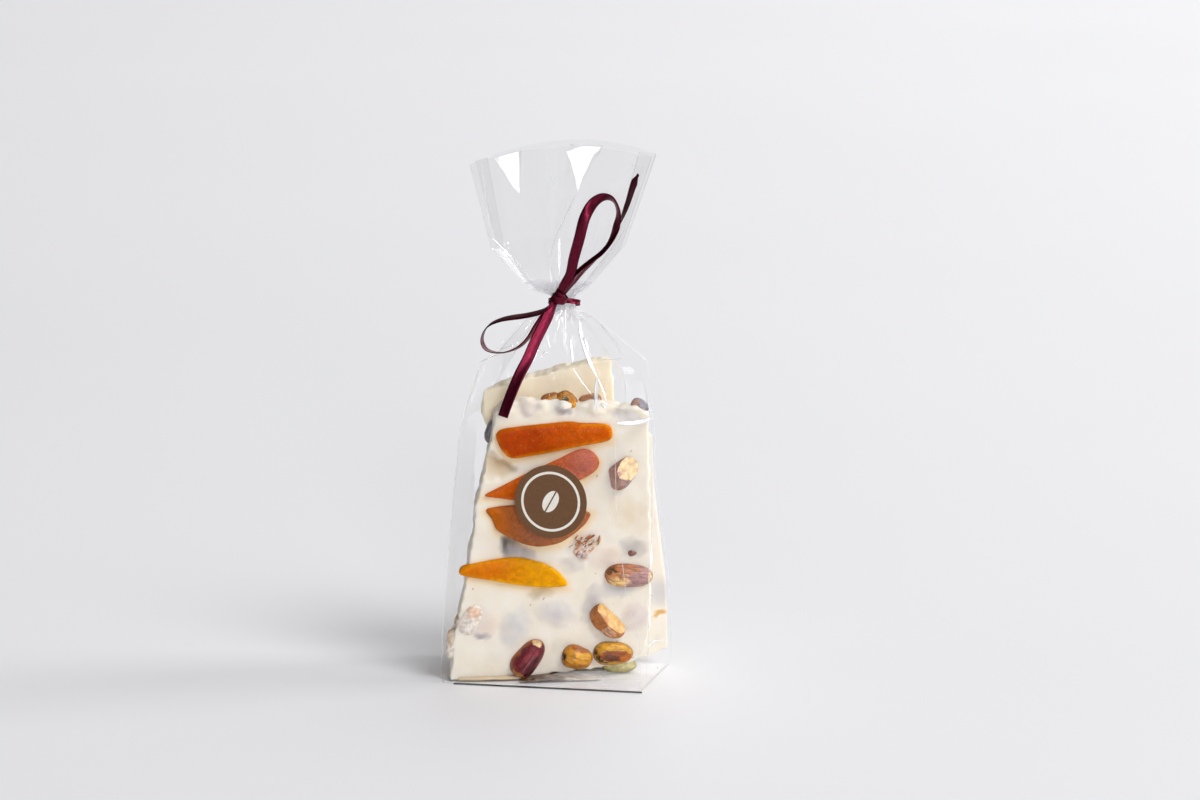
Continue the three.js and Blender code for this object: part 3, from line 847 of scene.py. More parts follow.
def crease_relief(x, z, creases):
    """Height of the sharp folds over places of a wall"""
    relief = np.zeros(np.broadcast_shapes(x.shape, z.shape))
    for (x0, z0), (x1, z1), half, height in creases:
        dx, dz = x1 - x0, z1 - z0
        along = np.clip(((x - x0) * dx + (z - z0) * dz) / (dx * dx + dz * dz), 0, 1)
        gap = np.hypot(x - x0 - along * dx, z - z0 - along * dz)
        relief += height * np.maximum(0, 1 - gap / half)
    return relief


def crumple(share, z):
    """Height of the ridges that run from the neck down over the front's shoulder and up its fan"""
    depth = np.zeros(z.shape)
    for height, (low, full, waning, high), loss in CRUMPLES:
        rise = np.clip((z - low) / (full - low), 0, 1)
        fall = np.clip((z - waning) / (high - waning), 0, 1)
        depth += height * rise * (1 - loss * fall)
    # The noise is drawn out upwards, so that its ridges run up and down
    places = np.stack(np.broadcast_arrays(45 * share, 0, z / 3.5), axis=-1).reshape(-1, 3)
    ridges = 0.7 * (1 - 2 * np.abs(rumple(places, 5, 81))) + 0.3 * (1 - 2 * np.abs(rumple(places, 2.2, 82)))
    return depth * ridges.reshape(z.shape)


def rim_line(x):
    """Height of the fan's rim, which sags to both sides, at places across it"""
    return RIM_HEIGHT - RIM_SAG * ((x - RIM_PEAK_X) / RIM_SAG_SPAN) ** 2


def film_rings(heights):
    """Rings of the bag's film at heights on its middle line, each as points round the bag"""
    section = {size: values[:, None] for size, values in section_at(heights).items()}
    rim = {size: values[:, None] for size, values in section_at(np.full(len(heights), RIM_HEIGHT)).items()}
    reach = np.maximum(0, (heights - TIE_HEIGHT) / (RIM_HEIGHT - TIE_HEIGHT))[:, None]
    shares = {wall: np.arange(count)[None] / count for wall, count in WALL_COLUMNS.items()}

    def around(sizes):
        """X and Y of the points round each ring, from its four walls in turn"""
        walls = (
            broad_wall(sizes, -1, shares["front"]), side_wall(sizes, 1, shares["right"]),
            broad_wall(sizes, 1, 1 - shares["back"]), side_wall(sizes, -1, 1 - shares["left"]),
        )
        return [np.hstack([np.broadcast_to(wall[axis], (len(heights), wall[0].shape[1])) for wall in walls])
                for axis in (0, 1)]

    x, y = around(section)
    z = np.minimum(heights, TIE_HEIGHT)[:, None] + reach * (rim_line(around(rim)[0]) - TIE_HEIGHT)
    front = slice(0, WALL_COLUMNS["front"])
    y[:, front] -= crease_relief(x[:, front], z[:, front], FRONT_CREASES)
    y[:, front] -= crumple(shares["front"], z[:, front])
    rings = np.stack([x, y, z], axis=-1)
    for outline in FAN_FACETS:
        hinge = min(outline, key=lambda corner: corner[1])
        flat = front_depth(*hinge) + (rings[:, front, 0] - hinge[0]) * FACET_SLOPES[0]
        flat += (rings[:, front, 2] - hinge[1]) * FACET_SLOPES[1]
        within = edge_distance(rings[:, front].reshape(-1, 3), outline).reshape(flat.shape)
        share = np.clip((within + FACET_MARGIN) / FACET_EASE, 0, 1)
        rings[:, front, 1] += share * (flat - rings[:, front, 1])
    return rings


def front_depth(x, z):
    """Y of the front film at a place in X and Z"""
    height = z
    rim = section_at(RIM_HEIGHT)
    # Above the tie, a height on the film's middle line is found step by step from the place's own height
    for _ in range(8):
        section = section_at(height)
        share = (x + section["left"]) / (section["left"] + section["right"] - section["skew"])
        top = rim_line((rim["left"] + rim["right"]) * share - rim["left"])
        if z > TIE_HEIGHT:
            height = TIE_HEIGHT + (RIM_HEIGHT - TIE_HEIGHT) * (z - TIE_HEIGHT) / (top - TIE_HEIGHT)
    return float(broad_wall(section, -1, share)[1])


def white_creases(finish):
    """The film's hard creases and pressed upright edges: low ridges that taper to both ends, painted white
    as the highlights along them, as one piece
    """
    points, faces = [], []
    front, right = np.array((0, -1, 0)), np.array((1, 0, 0))
    routes = [(width, front, smooth_route([(x, front_depth(x, z), z) for x, z in bends], CREASE_STEP))
              for width, bends in WHITE_CREASES]
    heights = np.linspace(*EDGE_CREASE_SPAN, EDGE_CREASE_POINTS)
    section = section_at(heights)
    for side, share in ((-1, 0.0), (-1, 1.0), (1, 1.0)):
        x, y = broad_wall(section, side, share)
        routes.append((EDGE_CREASE_WIDTH, front, np.stack([x, y, heights], axis=1)))
    for width, bends in RIGHT_CREASES:
        places = [(*side_wall(section_at(z), 1, share), z) for share, z in bends]
        routes.append((width, right, smooth_route(places, CREASE_STEP)))
    bend = np.linspace(-math.pi / 2, math.pi / 2, CREASE_SIDES)
    for width, outwards, route in routes:
        # Each tapers over a quarter of its length at both ends
        run = np.linspace(0, 1, len(route))
        half = width / 2 * np.clip(4 * np.minimum(run, 1 - run), 0.08, 1) ** 0.6
        aside = np.cross(CREASE_FACING, np.gradient(route, axis=0))
        aside /= np.linalg.norm(aside, axis=1)[:, None]
        faces += tube_faces(len(route), CREASE_SIDES, len(points))
        for place, side, reach in zip(route, aside, half):
            points += [place + side * reach * math.sin(turn)
                       + outwards * (CREASE_GAP + CREASE_RISE * reach * math.cos(turn)) for turn in bend]
    dress(mesh_piece("film_creases", points, faces), finish, "clear_film", "bag")


def neck_gathers(finish):
    """Film folded in on itself inside the tie, in two layers"""
    # Each layer leaves the outer film at both ends of the span and is furthest in at the tie
    inset = 1 - np.linspace(-1, 1, GATHER_ROWS) ** 2
    layers = []
    for share in GATHER_LAYERS:
        rings = film_rings(np.linspace(*GATHER_SPAN, GATHER_ROWS)) - (BAND_CENTRE[0], 0, 0)
        rings[:, :, :2] *= (GATHER_EDGE - (GATHER_EDGE - share) * inset)[:, None, None]
        rings += (BAND_CENTRE[0], 0, 0)
        layer = mesh_piece("layer", rings.reshape(-1, 3), ring_faces(*rings.shape[:2]))
        finish_with(layer, "SOLIDIFY", thickness=FILM_THICKNESS * MM, offset=-1)
        layers.append(layer)
    dress(joined(layers, "film_gathers"), finish, "clear_film", "bag")


def film_bag(finish):
    """The bag of film: block bottom, leaning walls, gathered neck and open fan, a thin wall all over"""
    levels = [row[0] for row in SECTIONS]
    heights = np.concatenate(
        [np.linspace(low, high, count, endpoint=False)
         for low, high, count in zip(levels, levels[1:], ROWS_BETWEEN)] + [[RIM_HEIGHT]])
    rings = film_rings(heights)
    # The bottom edge is rounded, and the bottom closes in rings to the middle
    foot = rings[0]
    bottom = [foot * (share, share, 0) + (0, 0, lift) for share, lift in BOTTOM_RINGS]
    rings[0, :, 2] = BOTTOM_EDGE
    rings = np.concatenate([np.array(bottom), rings])
    middle = tuple(range(rings.shape[1]))[::-1]
    bag = mesh_piece("film_bag", rings.reshape(-1, 3), ring_faces(*rings.shape[:2]) + [middle])
    finish_with(bag, "SOLIDIFY", thickness=FILM_THICKNESS * MM, offset=-1)
    dress(bag, finish, "clear_film", "bag")


def bottom_fold(finish):
    """Film folded up in front of the contents at the bag's bottom, drawn into long flat creases"""
    across = np.linspace(BOTTOM_FOLD[0][0], BOTTOM_FOLD[-1][0], BOTTOM_FOLD_COLUMNS)
    points = []
    for x, top in zip(across, np.interp(across, *np.array(BOTTOM_FOLD).T)):
        for z in np.linspace(BOTTOM_FOLD_FOOT, top, BOTTOM_FOLD_ROWS):
            ripple = 0.12 * math.sin(2.1 * z + 0.11 * x) + 0.1 * math.sin(4.3 * z - 0.2 * x)
            points.append((x, front_depth(x, z) - BOTTOM_FOLD_GAP - ripple, z))
    faces = [(face[0], *face[:0:-1]) for face in ring_faces(len(across), BOTTOM_FOLD_ROWS, loop=False)]
    fold = mesh_piece("film_bottom_fold", points, faces)
    finish_with(fold, "SOLIDIFY", thickness=FILM_THICKNESS * MM, offset=-1)
    dress(fold, finish, "clear_film", "bag")


def bottom_seam(finish):
    """The folded front edge of the bag's bottom, as a dark strip of painted shade"""
    bpy.ops.mesh.primitive_cube_add(size=1)
    seam = bpy.context.object
    seam.name = "film_bottom_seam"
    seam.scale = Vector((SEAM_LENGTH, *SEAM_SECTION)) * MM
    seam.rotation_euler = (0, 0, SEAM_TURN)
    seam.location = Vector(SEAM_MIDDLE) * MM
    bpy.ops.object.transform_apply(location=True, rotation=True, scale=True)
    finish_with(seam, "BEVEL", width=SEAM_ROUNDING * MM, segments=2)
    dress(seam, finish, "clear_film", "bag")


def keep_inside(places):
    """Places moved in, where needed, to lie clear inside the bag's film"""
    section = section_at(places[:, 2])
    places = places.copy()
    places[:, 2] = np.maximum(places[:, 2], FLOOR_CLEARANCE)
    across = np.clip((places[:, 0] + section["left"]) / (section["left"] + section["right"]), 0, 1)
    depth = section["depth"] / 2 + section["splay"] * (1 - 2 * across) - FILM_CLEARANCE
    places[:, 1] = np.clip(places[:, 1], -depth, depth)
    share = np.clip(places[:, 1] / section["depth"] + 0.5, 0, 1)
    right = side_wall(section, 1, share)[0] - FILM_CLEARANCE
    left = side_wall(section, -1, share)[0] + FILM_CLEARANCE
    places[:, 0] = np.clip(places[:, 0], left, right)
    return places


def into_bag(places, shard):
    """Places along, into and up a shard, as places in the bag"""
    turn = np.array(Matrix.Rotation(math.radians(shard["turn"]), 3, "Z"))
    return places @ turn.T + shard["foot"]


def outline_block(name, outline, front, back, voxel):
    """A block with an outline in X and Z, from one depth to another, as an even mesh of that fineness"""
    bpy.ops.mesh.primitive_circle_add(vertices=len(outline), radius=1, fill_type="NGON")
    block = bpy.context.object
    block.name = name
    move_points(block, [(x, front, z) for x, z in outline])
    with edit_mode():
        bpy.ops.mesh.extrude_region_move(TRANSFORM_OT_translate={"value": (0, (back - front) * MM, 0)})
        bpy.ops.mesh.select_all(action="SELECT")
        bpy.ops.mesh.normals_make_consistent(inside=False)
    finish_with(block, "REMESH", mode="VOXEL", voxel_size=voxel * MM, use_smooth_shade=True)
    return block


def edge_distance(places, outline):
    """How far places are inside an outline in X and Z, negative outside it"""
    corners = np.array(outline, float)
    x, z = places[:, 0], places[:, 2]
    nearest = np.full(len(places), np.inf)
    inside = np.zeros(len(places), bool)
    for (x0, z0), (x1, z1) in zip(corners, np.roll(corners, -1, axis=0)):
        dx, dz = x1 - x0, z1 - z0
        along = np.clip(((x - x0) * dx + (z - z0) * dz) / (dx * dx + dz * dz), 0, 1)
        nearest = np.minimum(nearest, np.hypot(x - x0 - along * dx, z - z0 - along * dz))
        if dz:
            inside ^= ((z0 > z) != (z1 > z)) & (x < x0 + (z - z0) * dx / dz)
    return np.where(inside, nearest, -nearest)


def spot(places, s, z, length, width, angle):
    """1 in the middle of an oval spot on a shard's face, falling to 0 at its edge"""
    turn = math.radians(angle)
    along = (places[:, 0] - s) * math.cos(turn) + (places[:, 2] - z) * math.sin(turn)
    aside = (places[:, 2] - z) * math.cos(turn) - (places[:, 0] - s) * math.sin(turn)
    return np.clip(1 - (along / (length / 2)) ** 2 - (aside / (width / 2)) ** 2, 0, 1)


# Nuts that lie under the front shard's skin: place along and up it, length, width, angle, the tint that
# shows through, and how high the chocolate stands over them
BURIED_NUTS = (
    (25.6, 20.9, 19, 13, 62, "#d2ccc8", 0.5), (42, 26.8, 19, 11, -14, "#d4ccc8", 0.5),
    (23.6, 55, 11, 9.5, 40, "#4a3c3e", 0.4), (21.8, 57, 7, 5, 60, "#453c42", 0),
    (28.6, 52.4, 13, 7, -10, "#a69ea4", 0.3), (53.2, 54.6, 16, 13, 30, "#dccabe", 0.6),
    (71.8, 53, 10, 12, 80, "#b6aca6", 0.3), (61.8, 49, 14, 10, 10, "#e4cfbe", 0.5),
    (56.3, 30, 18, 9, 78, "#c2bab6", 0.4), (73, 24.6, 14, 12, 40, "#dac8c0", 0.5),
    (12, 24.8, 18, 13, -25, "#e6d2c4", 0.6), (12.4, 18.4, 8, 4, -8, "#a79ca4", 0.1),
    (32.2, 110.4, 10, 7, 40, "#d4c6c2", 0.4), (45, 108.8, 6, 3.5, -20, "#9a9296", 0.4),
    (70, 106.6, 13, 7, -10, "#c9c3c2", 0.3), (48, 46.5, 13, 7, -20, "#d2c6bc", 0.3),
    (36, 35.4, 11, 6, 10, "#c8b496", 0.2), (71, 66, 20, 15, -35, "#e4d2b6", 0),
    (66, 36, 16, 8, 5, "#cfc9c4", 0.3), (18, 10, 12, 8, 20, "#ece2d2", 0.3),
    (44, 14, 10, 7, 50, "#e8ddca", 0.3),
)

# Hollow broken out at the front shard's left edge, under the first strip of fruit, with painted shade in it
HOLLOW = ((10, 96), (15.2, 93.5), (22, 91), (24.4, 88.9), (27.7, 84.6), (22, 81), (12, 80.6))
HOLLOW_DEPTH = 3
HOLLOW_SHADE = "#c8a674"
CHOCOLATE = "#f1e6d5"
# Height from which the shard's top is crumpled, and how deep its face is tinted
TOP_BREAK = 105
FACE_DEPTH = 4
# Tint of the light that comes through the fruit, how far it reaches and its share
FRUIT_GLOW = (1, 0.76, 0.42, 1)
GLOW_REACH = 3
GLOW_SHARE = 0.65


def tinted(tints, share, code):
    """Tints drawn towards the one that turns the chocolate to a colour, by a share for each point"""
    return mixed(tints, share, np.array(linear(code)) / np.array(linear(CHOCOLATE)))


def front_face(places, tints):
    """The front shard's face: swellings and tints of the nuts under it, the painted glow of the fruit on it,
    the hollow at its left edge with its painted shade, and its crumpled top"""
    near = np.clip(1 - places[:, 1] / FACE_DEPTH, 0, 1)
    flat = places * (1, 0, 1)
    wander = places + np.stack([
        1.1 * rumple(flat, 5, 61) + 0.5 * rumple(flat, 1.8, 62), np.zeros(len(places)),
        1.1 * rumple(flat, 5, 63) + 0.5 * rumple(flat, 1.8, 64)], axis=1)
    mottle = 0.8 + 0.25 * rumple(flat, 3.5, 65)
    for s, z, length, width, angle, tint, height in BURIED_NUTS:
        over = spot(wander, s, z, length, width, angle)
        places[:, 1] -= near * height * over
        tints = tinted(tints, near * over ** 0.7 * mottle, tint)
    # The hollow runs out downwards, and its painted shade runs out to the left
    dip = np.clip(edge_distance(wander, HOLLOW) / 2.2, 0, 1)
    dip *= np.clip((places[:, 2] - 78) / 9, 0, 1)
    places[:, 1] += near * HOLLOW_DEPTH * dip
    tints = tinted(tints, near * dip * np.clip((places[:, 0] - 11) / 9, 0.15, 0.9), HOLLOW_SHADE)
    for strip in APRICOTS:
        gap = -edge_distance(places + (0, 0, 1.2), strip["outline"])
        glow = near * np.clip(1 - gap / GLOW_REACH, 0, 1) ** 1.5 * GLOW_SHARE
        tints = mixed(tints, glow, tints * np.array(FRUIT_GLOW))
    crumpled = near * np.clip((places[:, 2] - TOP_BREAK) / 5, 0, 1)
    places[:, 1] += crumpled * (1.3 * rumple(flat, 4.5, 66) + 0.6 * rumple(flat, 1.9, 67))
    return places, tints


def warm_face(places, tints):
    """A shard in the bag's middle, where the light has come through chocolate and is warmer"""
    return places, tints * np.array((1.1, 1.02, 0.91, 1))


def corner_face(places, tints):
    """The shard in the right corner, bright beside the window of clear film, with a streak of caramel"""
    streak = spot(places, 15.4, 22.4, 6.4, 2.4, -4) + spot(places, 13.2, 21.2, 3, 1.8, 30)
    tints = tinted(tints * np.array((0.94, 0.94, 0.93, 1)), spot(places, 15, 31, 14, 16, 80), "#cdc6c2")
    return places, tinted(tints, 1.4 * streak, "#d8a03c")


def shadowed_face(places, tints):
    """Painted shadow under the front shard's raised edge: dark brown, darkest at the left, and mottled"""
    share = np.clip(1.3 - (places[:, 0] - 34) / 18, 0.2, 0.95) + 0.2 * rumple(places, 2.5, 71)
    return places, tinted(tints, share, "#5a3a1c")


def shaded_foot_face(places, tints):
    """Painted shade along the front shard's foot: the chocolate turned tan"""
    return places, tinted(tints, np.full(len(places), 0.7), "#c8aa80")


def bark_shard(name, shard, seed, finish_face):
    """A broken shard of bark: smooth faces that dip and swell, and rough broken edges"""
    block = outline_block(name, shard["outline"], 0, shard["thickness"], SHARD_FINENESS)
    finish_with(block, "SMOOTH", factor=0.5, iterations=3)
    places = positions(block)
    inside = edge_distance(places, shard["outline"])
    broken = np.clip(1 - inside / BROKEN_EDGE, 0, 1)
    s, z = np.mean(shard["outline"], axis=0)
    middle = np.array((s, 0, z))
    outwards = places - middle
    outwards[:, 1] = 0
    outwards /= np.linalg.norm(outwards, axis=1)[:, None] + 0.01
    rough = 0.55 * rumple(places, 7, seed) + 0.4 * rumple(places, 2.6, seed + 1)
    places = places + outwards * (broken * rough)[:, None]
    swell = 0.35 * rumple(places * (1, 0, 1), 16, seed + 2) + 0.12 * rumple(places * (1, 0, 1), 5, seed + 3)
    places[:, 1] += swell * np.where(places[:, 1] < shard["thickness"] / 2, 1, -1)
    tints = np.ones((len(places), 4))
    if finish_face:
        places, tints = finish_face(places, tints)
    move_points(block, keep_inside(into_bag(places, shard)))
    # These hold the tints of the nuts under the skin, and painted light and shade
    paint(block, "tints_and_painted_light", tints)
    return block


FRUIT_FINENESS = 0.5
FRUIT_SUNK = 2.4

# Strips of dried apricot on the front shard: outline along and up it, colour at its left and right ends,
# colour of its lower edge, how proud it stands, and at what share of its length its colour turns
APRICOTS = (
    {
        "outline": (
            (18, 99.5), (19.9, 102.1), (31.7, 103.4), (47.7, 104.6), (51, 103.8), (61.5, 103.4),
            (64, 101.8), (64.2, 96.4), (51.4, 94.5), (40.4, 92.3), (24, 89.7), (20.2, 93.8),
        ),
        "left": "#b84200", "right": "#d25a00", "edge": "#ee9000", "proud": 1.9, "turn": 0.5,
    },
    {
        "outline": (
            (12.4, 75.3), (19.8, 78.7), (30.5, 84.1), (40.4, 88.3), (51.4, 93.6), (56.1, 92.7),
            (59.3, 88.6), (58.5, 85.4), (55.9, 83.1), (47.4, 78.8), (36, 75), (26.1, 73), (19.8, 74.2),
        ),
        "left": "#d05c00", "right": "#cc7460", "edge": "#d07038", "proud": 1.5, "turn": 0.68,
    },
    {
        "outline": (
            (13.3, 70), (19.8, 71.1), (35.6, 71.9), (56.5, 68.1), (53.8, 63.1), (49.4, 59.3),
            (43.5, 55.4), (35.5, 54), (29.6, 55.2), (23.7, 58), (18.2, 61.4), (16.6, 65.9),
        ),
        "left": "#c66600", "right": "#ac6a48", "edge": "#b0683c", "proud": 1.4, "turn": 0.25,
    },
    {
        "outline": (
            (3.1, 44), (4.3, 46.8), (7.9, 47.9), (15.8, 49.3), (22.9, 50.3), (28, 50.2), (37.5, 47.5),
            (42.6, 44.1), (45.8, 40.3), (46.6, 37.9), (37.5, 37.5), (27.6, 38.8), (15.7, 41.2), (7.1, 42.8),
        ),
        "left": "#e07a00", "right": "#f0a200", "edge": "#fcb800", "proud": 1.8, "turn": 0.5,
    },
)

# Strips on the backs of the shards behind it, each with its shard
BACK_APRICOTS = (
    (BACK_SHARD, {
        "outline": ((8, 68), (14, 73), (26, 74.5), (36, 71), (37.5, 68), (28, 66), (16, 65)),
        "left": "#d05c00", "right": "#d87010", "edge": "#f0a020", "proud": 1.6, "turn": 0.5,
    }),
    (BACK_SHARD, {
        "outline": ((10, 21), (18, 28), (30, 31), (40, 30), (41.5, 27), (33, 23.5), (22, 19.5)),
        "left": "#e07a00", "right": "#f0a200", "edge": "#fcb800", "proud": 1.7, "turn": 0.5,
    }),
    (MIDDLE_SHARD, {
        "outline": ((22, 104), (28, 108.5), (40, 111), (52, 110), (53.5, 107), (44, 103.5), (30, 101.5)),
        "left": "#c66600", "right": "#b06a40", "edge": "#b0683c", "proud": 1.5, "turn": 0.5,
    }),
)


def rounded(outline):
    """An outline with its corners cut off twice over"""
    corners = np.array(outline, float)
    for _ in range(2):
        ahead = np.roll(corners, -1, axis=0)
        corners = np.stack([0.8 * corners + 0.2 * ahead, 0.2 * corners + 0.8 * ahead], axis=1).reshape(-1, 2)
    return corners


def turned_over(piece, places, shard):
    """Places on the front of a shard taken to its back, with the piece's faces kept outward"""
    select_only(piece)
    with edit_mode():
        bpy.ops.mesh.flip_normals()
    return places * (1, -1, 1) + (0, shard["thickness"], 0)


def apricot_strips(finish):
    """All the strips of dried apricot, as one piece"""
    strips = []
    for i, (shard, strip) in enumerate([(FRONT_SHARD, strip) for strip in APRICOTS] + [*BACK_APRICOTS]):
        block = outline_block(
            "strip", rounded(strip["outline"]), -strip["proud"], FRUIT_SUNK, FRUIT_FINENESS)
        finish_with(block, "SMOOTH", factor=0.5, iterations=5)
        places = positions(block)
        inside = np.maximum(edge_distance(places, strip["outline"]), 0)
        # The face is crowned, thin at its edge, and wrinkled
        crown = np.clip(inside / 3.5, 0, 1) ** 0.5
        face = np.clip(-places[:, 1] / strip["proud"], 0, 1)
        wrinkle = 0.3 * rumple(places, 7, 40 + i) + 0.1 * rumple(places * (0.5, 1, 1.4), 2.4, 50 + i)
        places[:, 1] -= face * (0.9 * (crown - 0.7) + wrinkle)
        low, high = places[:, 0].min(), places[:, 0].max()
        share = 0.5 + 3 * ((places[:, 0] - low) / (high - low) - strip["turn"])
        colours = mixed(np.tile(linear(strip["left"]), (len(places), 1)), share, linear(strip["right"]))
        # The edge's colour is strongest below a line that rises along the strip
        rising = np.interp(places[:, 0], *np.sort(strip["outline"], axis=0).T)
        rim = np.clip(1 - inside / 1.8, 0, 1) * np.where(places[:, 2] < rising, 1, 0.35)
        colours = mixed(colours, rim, linear(strip["edge"]))
        if shard is not FRONT_SHARD:
            places = turned_over(block, places, shard)
        move_points(block, keep_inside(into_bag(places, shard)))
        paint(block, "flesh", colours)
        strips.append(block)
    dress(joined(strips, "apricot_strips"), finish, "dried_apricot", "bag")


# Kernels that show on the front shard: place along and up it and the middle's depth, length and width,
# angle, colours of the skin and the rim, and patches of colour on it: place along and across it from -1
# to 1, their reach along and across, and colour. A cut gives where it faces, how far from the middle it
# is, and its colour. worn is the share of the skin's wrinkles that is rubbed off. The first few are made
# with a finer mesh, as they show most.
KERNELS = (
    {"at": (68.2, 83.4, -1.4), "size": (15, 9.6), "angle": 46, "skin": "#b08a84", "rim": "#9a6c60",
     "patches": ((-0.75, 0.1, 0.35, 0.8, "#b08068"), (0.85, 0.1, 0.22, 0.8, "#e0a082")),
     "cuts": (((0.35, -0.86, 0.38), 2.7, "#f2d0a2"), ((-0.85, -0.5, -0.15), 3.9, "#c89c90"))},
    {"at": (70.8, 41.6, -0.2), "size": (19.4, 9.2), "angle": -4, "skin": "#b28480", "rim": "#a85c28",
     "patches": ((-0.75, 0.3, 0.5, 0.9, "#c88654"), (-0.9, 0.45, 0.18, 0.3, "#5c4430"),
                 (-0.62, 0.5, 0.12, 0.2, "#5c4430"), (-0.45, -0.5, 0.42, 0.45, "#f0c484"),
                 (-0.2, 0.1, 0.16, 0.3, "#dca276"), (0.9, 0, 0.13, 0.6, "#f8d6a0"),
                 (-0.1, 0.65, 0.5, 0.3, "#b8744a"))},
    {"at": (62.4, 23.2, -1), "size": (16.6, 9.8), "angle": -46, "skin": "#c07e48", "rim": "#a8602c",
     "patches": ((-0.5, 0.3, 0.3, 0.36, "#a85a20"), (-0.3, 0.2, 0.18, 0.3, "#6e3210"),
                 (0.2, -0.6, 0.6, 0.4, "#dca684"), (-0.8, 0.1, 0.2, 0.5, "#b06a44")),
     "cuts": (((0.58, -0.6, 0.55), 2.3, "#e2ae62"), ((-0.55, -0.8, -0.2), 4.1, "#b87034"))},
    {"at": (50.2, 8.8, -0.2), "size": (12.4, 9.6), "angle": -13, "skin": "#d29026", "rim": "#a8641c",
     "worn": 0.4,
     "patches": ((-0.94, -0.1, 0.15, 0.26, "#3a2010"), (0.3, 0.35, 0.5, 0.28, "#e8ac40"),
                 (0.2, -0.5, 0.6, 0.2, "#bc7a1c"), (0.1, 0.8, 0.7, 0.2, "#b4662a"))},
    {"at": (64.5, 10, -0.3), "size": (16, 9.6), "angle": -2, "skin": "#cc922a", "rim": "#a87a28",
     "worn": 0.3,
     "patches": ((0.05, -0.05, 0.72, 0.5, "#944a1a"), (-0.1, -0.25, 0.4, 0.28, "#6a3210"),
                 (0.6, -0.3, 0.3, 0.3, "#bd6616"), (0, 0.74, 0.85, 0.3, "#e4a632"),
                 (0.1, -0.8, 0.7, 0.2, "#d0982c"),
                 (-0.9, 0.15, 0.08, 0.16, "#33200e"), (-0.78, -0.2, 0.1, 0.15, "#33200e"),
                 (-0.62, -0.42, 0.12, 0.13, "#33200e"), (-0.42, -0.6, 0.14, 0.12, "#4a3418"))},
    {"at": (30.7, 9, -0.6), "size": (17.4, 10), "angle": 54, "skin": "#6c1622", "rim": "#b2662e",
     "patches": ((0.86, 0.25, 0.15, 0.4, "#f6d6a0"), (-0.9, -0.2, 0.17, 0.7, "#b0743a"),
                 (0.1, 0.3, 0.5, 0.16, "#94343c"), (0.0, -0.1, 0.6, 0.08, "#8e3a44"),
                 (-0.2, -0.4, 0.5, 0.2, "#480e18"), (0.45, 0.05, 0.2, 0.3, "#86242e"))},
    {"at": (40.6, 111.8, 4.4), "size": (9, 6.4), "angle": 20, "skin": "#c47830", "rim": "#935428",
     "patches": ((0.2, 0.3, 0.5, 0.4, "#e0a25c"), (-0.4, 0, 0.3, 0.4, "#96582a"))},
    {"at": (46.6, 111.8, 3.4), "size": (9.4, 7), "angle": -34, "skin": "#c4801f", "rim": "#935a1a",
     "patches": ((-0.3, 0.2, 0.3, 0.4, "#6c5018"), (0.5, 0, 0.4, 0.5, "#e09a2c"))},
    {"at": (55.8, 111.4, 4.6), "size": (9.5, 6), "angle": 15, "skin": "#b47a50", "rim": "#cc9056",
     "patches": ((0.5, -0.1, 0.4, 0.7, "#a08084"),)},
    {"at": (75.4, 109.4, 3), "size": (7.5, 5.4), "angle": -25, "skin": "#928a96", "rim": "#a89ca0",
     "patches": ((-0.6, 0.1, 0.35, 0.7, "#b48e7c"), (0.2, 0.2, 0.4, 0.4, "#a59ea8"))},
    {"at": (17.4, 99.6, 7.4), "size": (10, 5), "angle": 75, "skin": "#736c74", "rim": "#a69ca0",
     "patches": ((0.1, 0.2, 0.5, 0.4, "#8c868c"),)},
    {"at": (8.2, 25.4, 2.6), "size": (15, 10), "angle": 62, "skin": "#f0e4d8", "rim": "#e0a868", "worn": 0.8,
     "patches": ((0.4, 0.1, 0.3, 0.5, "#e6c4ac"), (-0.5, -0.2, 0.4, 0.5, "#f2e8de"))},
    {"at": (1.6, 14.6, 3.8), "size": (13, 8), "angle": 85, "skin": "#f0e4d6", "rim": "#e0b07a", "worn": 0.8,
     "patches": ((0.3, 0.3, 0.4, 0.5, "#e8d0b8"),)},
    {"at": (7.4, 31.6, 1.2), "size": (4, 2.4), "angle": 30, "skin": "#a8545c", "rim": "#b8745c",
     "patches": ((0.3, 0.2, 0.4, 0.5, "#b4686a"),)},
    {"at": (72.4, 50.8, 1.4), "size": (5.4, 4.8), "angle": 0, "skin": "#8f5a4c", "rim": "#a8705c",
     "patches": ((0.2, 0.2, 0.5, 0.5, "#9c6a58"),)},
    {"at": (23.2, 49.8, 1.4), "size": (7, 3.4), "angle": -8, "skin": "#4a2430", "rim": "#7c5a62",
     "patches": ((0.2, 0.2, 0.5, 0.5, "#6a3c48"),)},
    {"at": (67.6, 3.6, 5.5), "size": (14, 6.5), "angle": -4, "skin": "#bdb27c", "rim": "#a09458",
     "worn": 0.8, "patches": ((0.3, 0.2, 0.5, 0.5, "#d6ce9c"),)},
    {"at": (53.4, 53.4, 1.9), "size": (12, 8), "angle": 40, "skin": "#e6c6b0", "rim": "#d8a478", "worn": 0.8,
     "patches": ((0.3, 0.3, 0.4, 0.4, "#f0d8c8"), (-0.5, -0.2, 0.3, 0.4, "#d8ccd4"))},
)
FINE_KERNELS = 6
FINE_MESH = (96, 64)
PLAIN_MESH = (44, 34)
# A kernel's ends are blunter than a ball's, by a power, and it is a little flat: its half depth by its width
KERNEL_BLUNTNESS = 2.7
KERNEL_DEPTH = 0.44

# Skins and rims of the kernels on the other shards
OTHER_SKINS = (
    ("#6a2230", "#b2642c"), ("#b0827f", "#a9652f"), ("#cf9562", "#a9642c"), ("#d4902c", "#b07020"),
    ("#9a7a44", "#cb9628"), ("#ead6c6", "#c88452"),
)
# How many kernels they have, and between which lengths and widths
OTHER_NUTS = ((MIDDLE_SHARD, 4), (BACK_SHARD, 7), (SIDE_SHARD, 3))
OTHER_LENGTHS = (12, 18)
OTHER_WIDTHS = (8, 9.5)
NUT_SEED = 11
CRUMB_SEED = 5
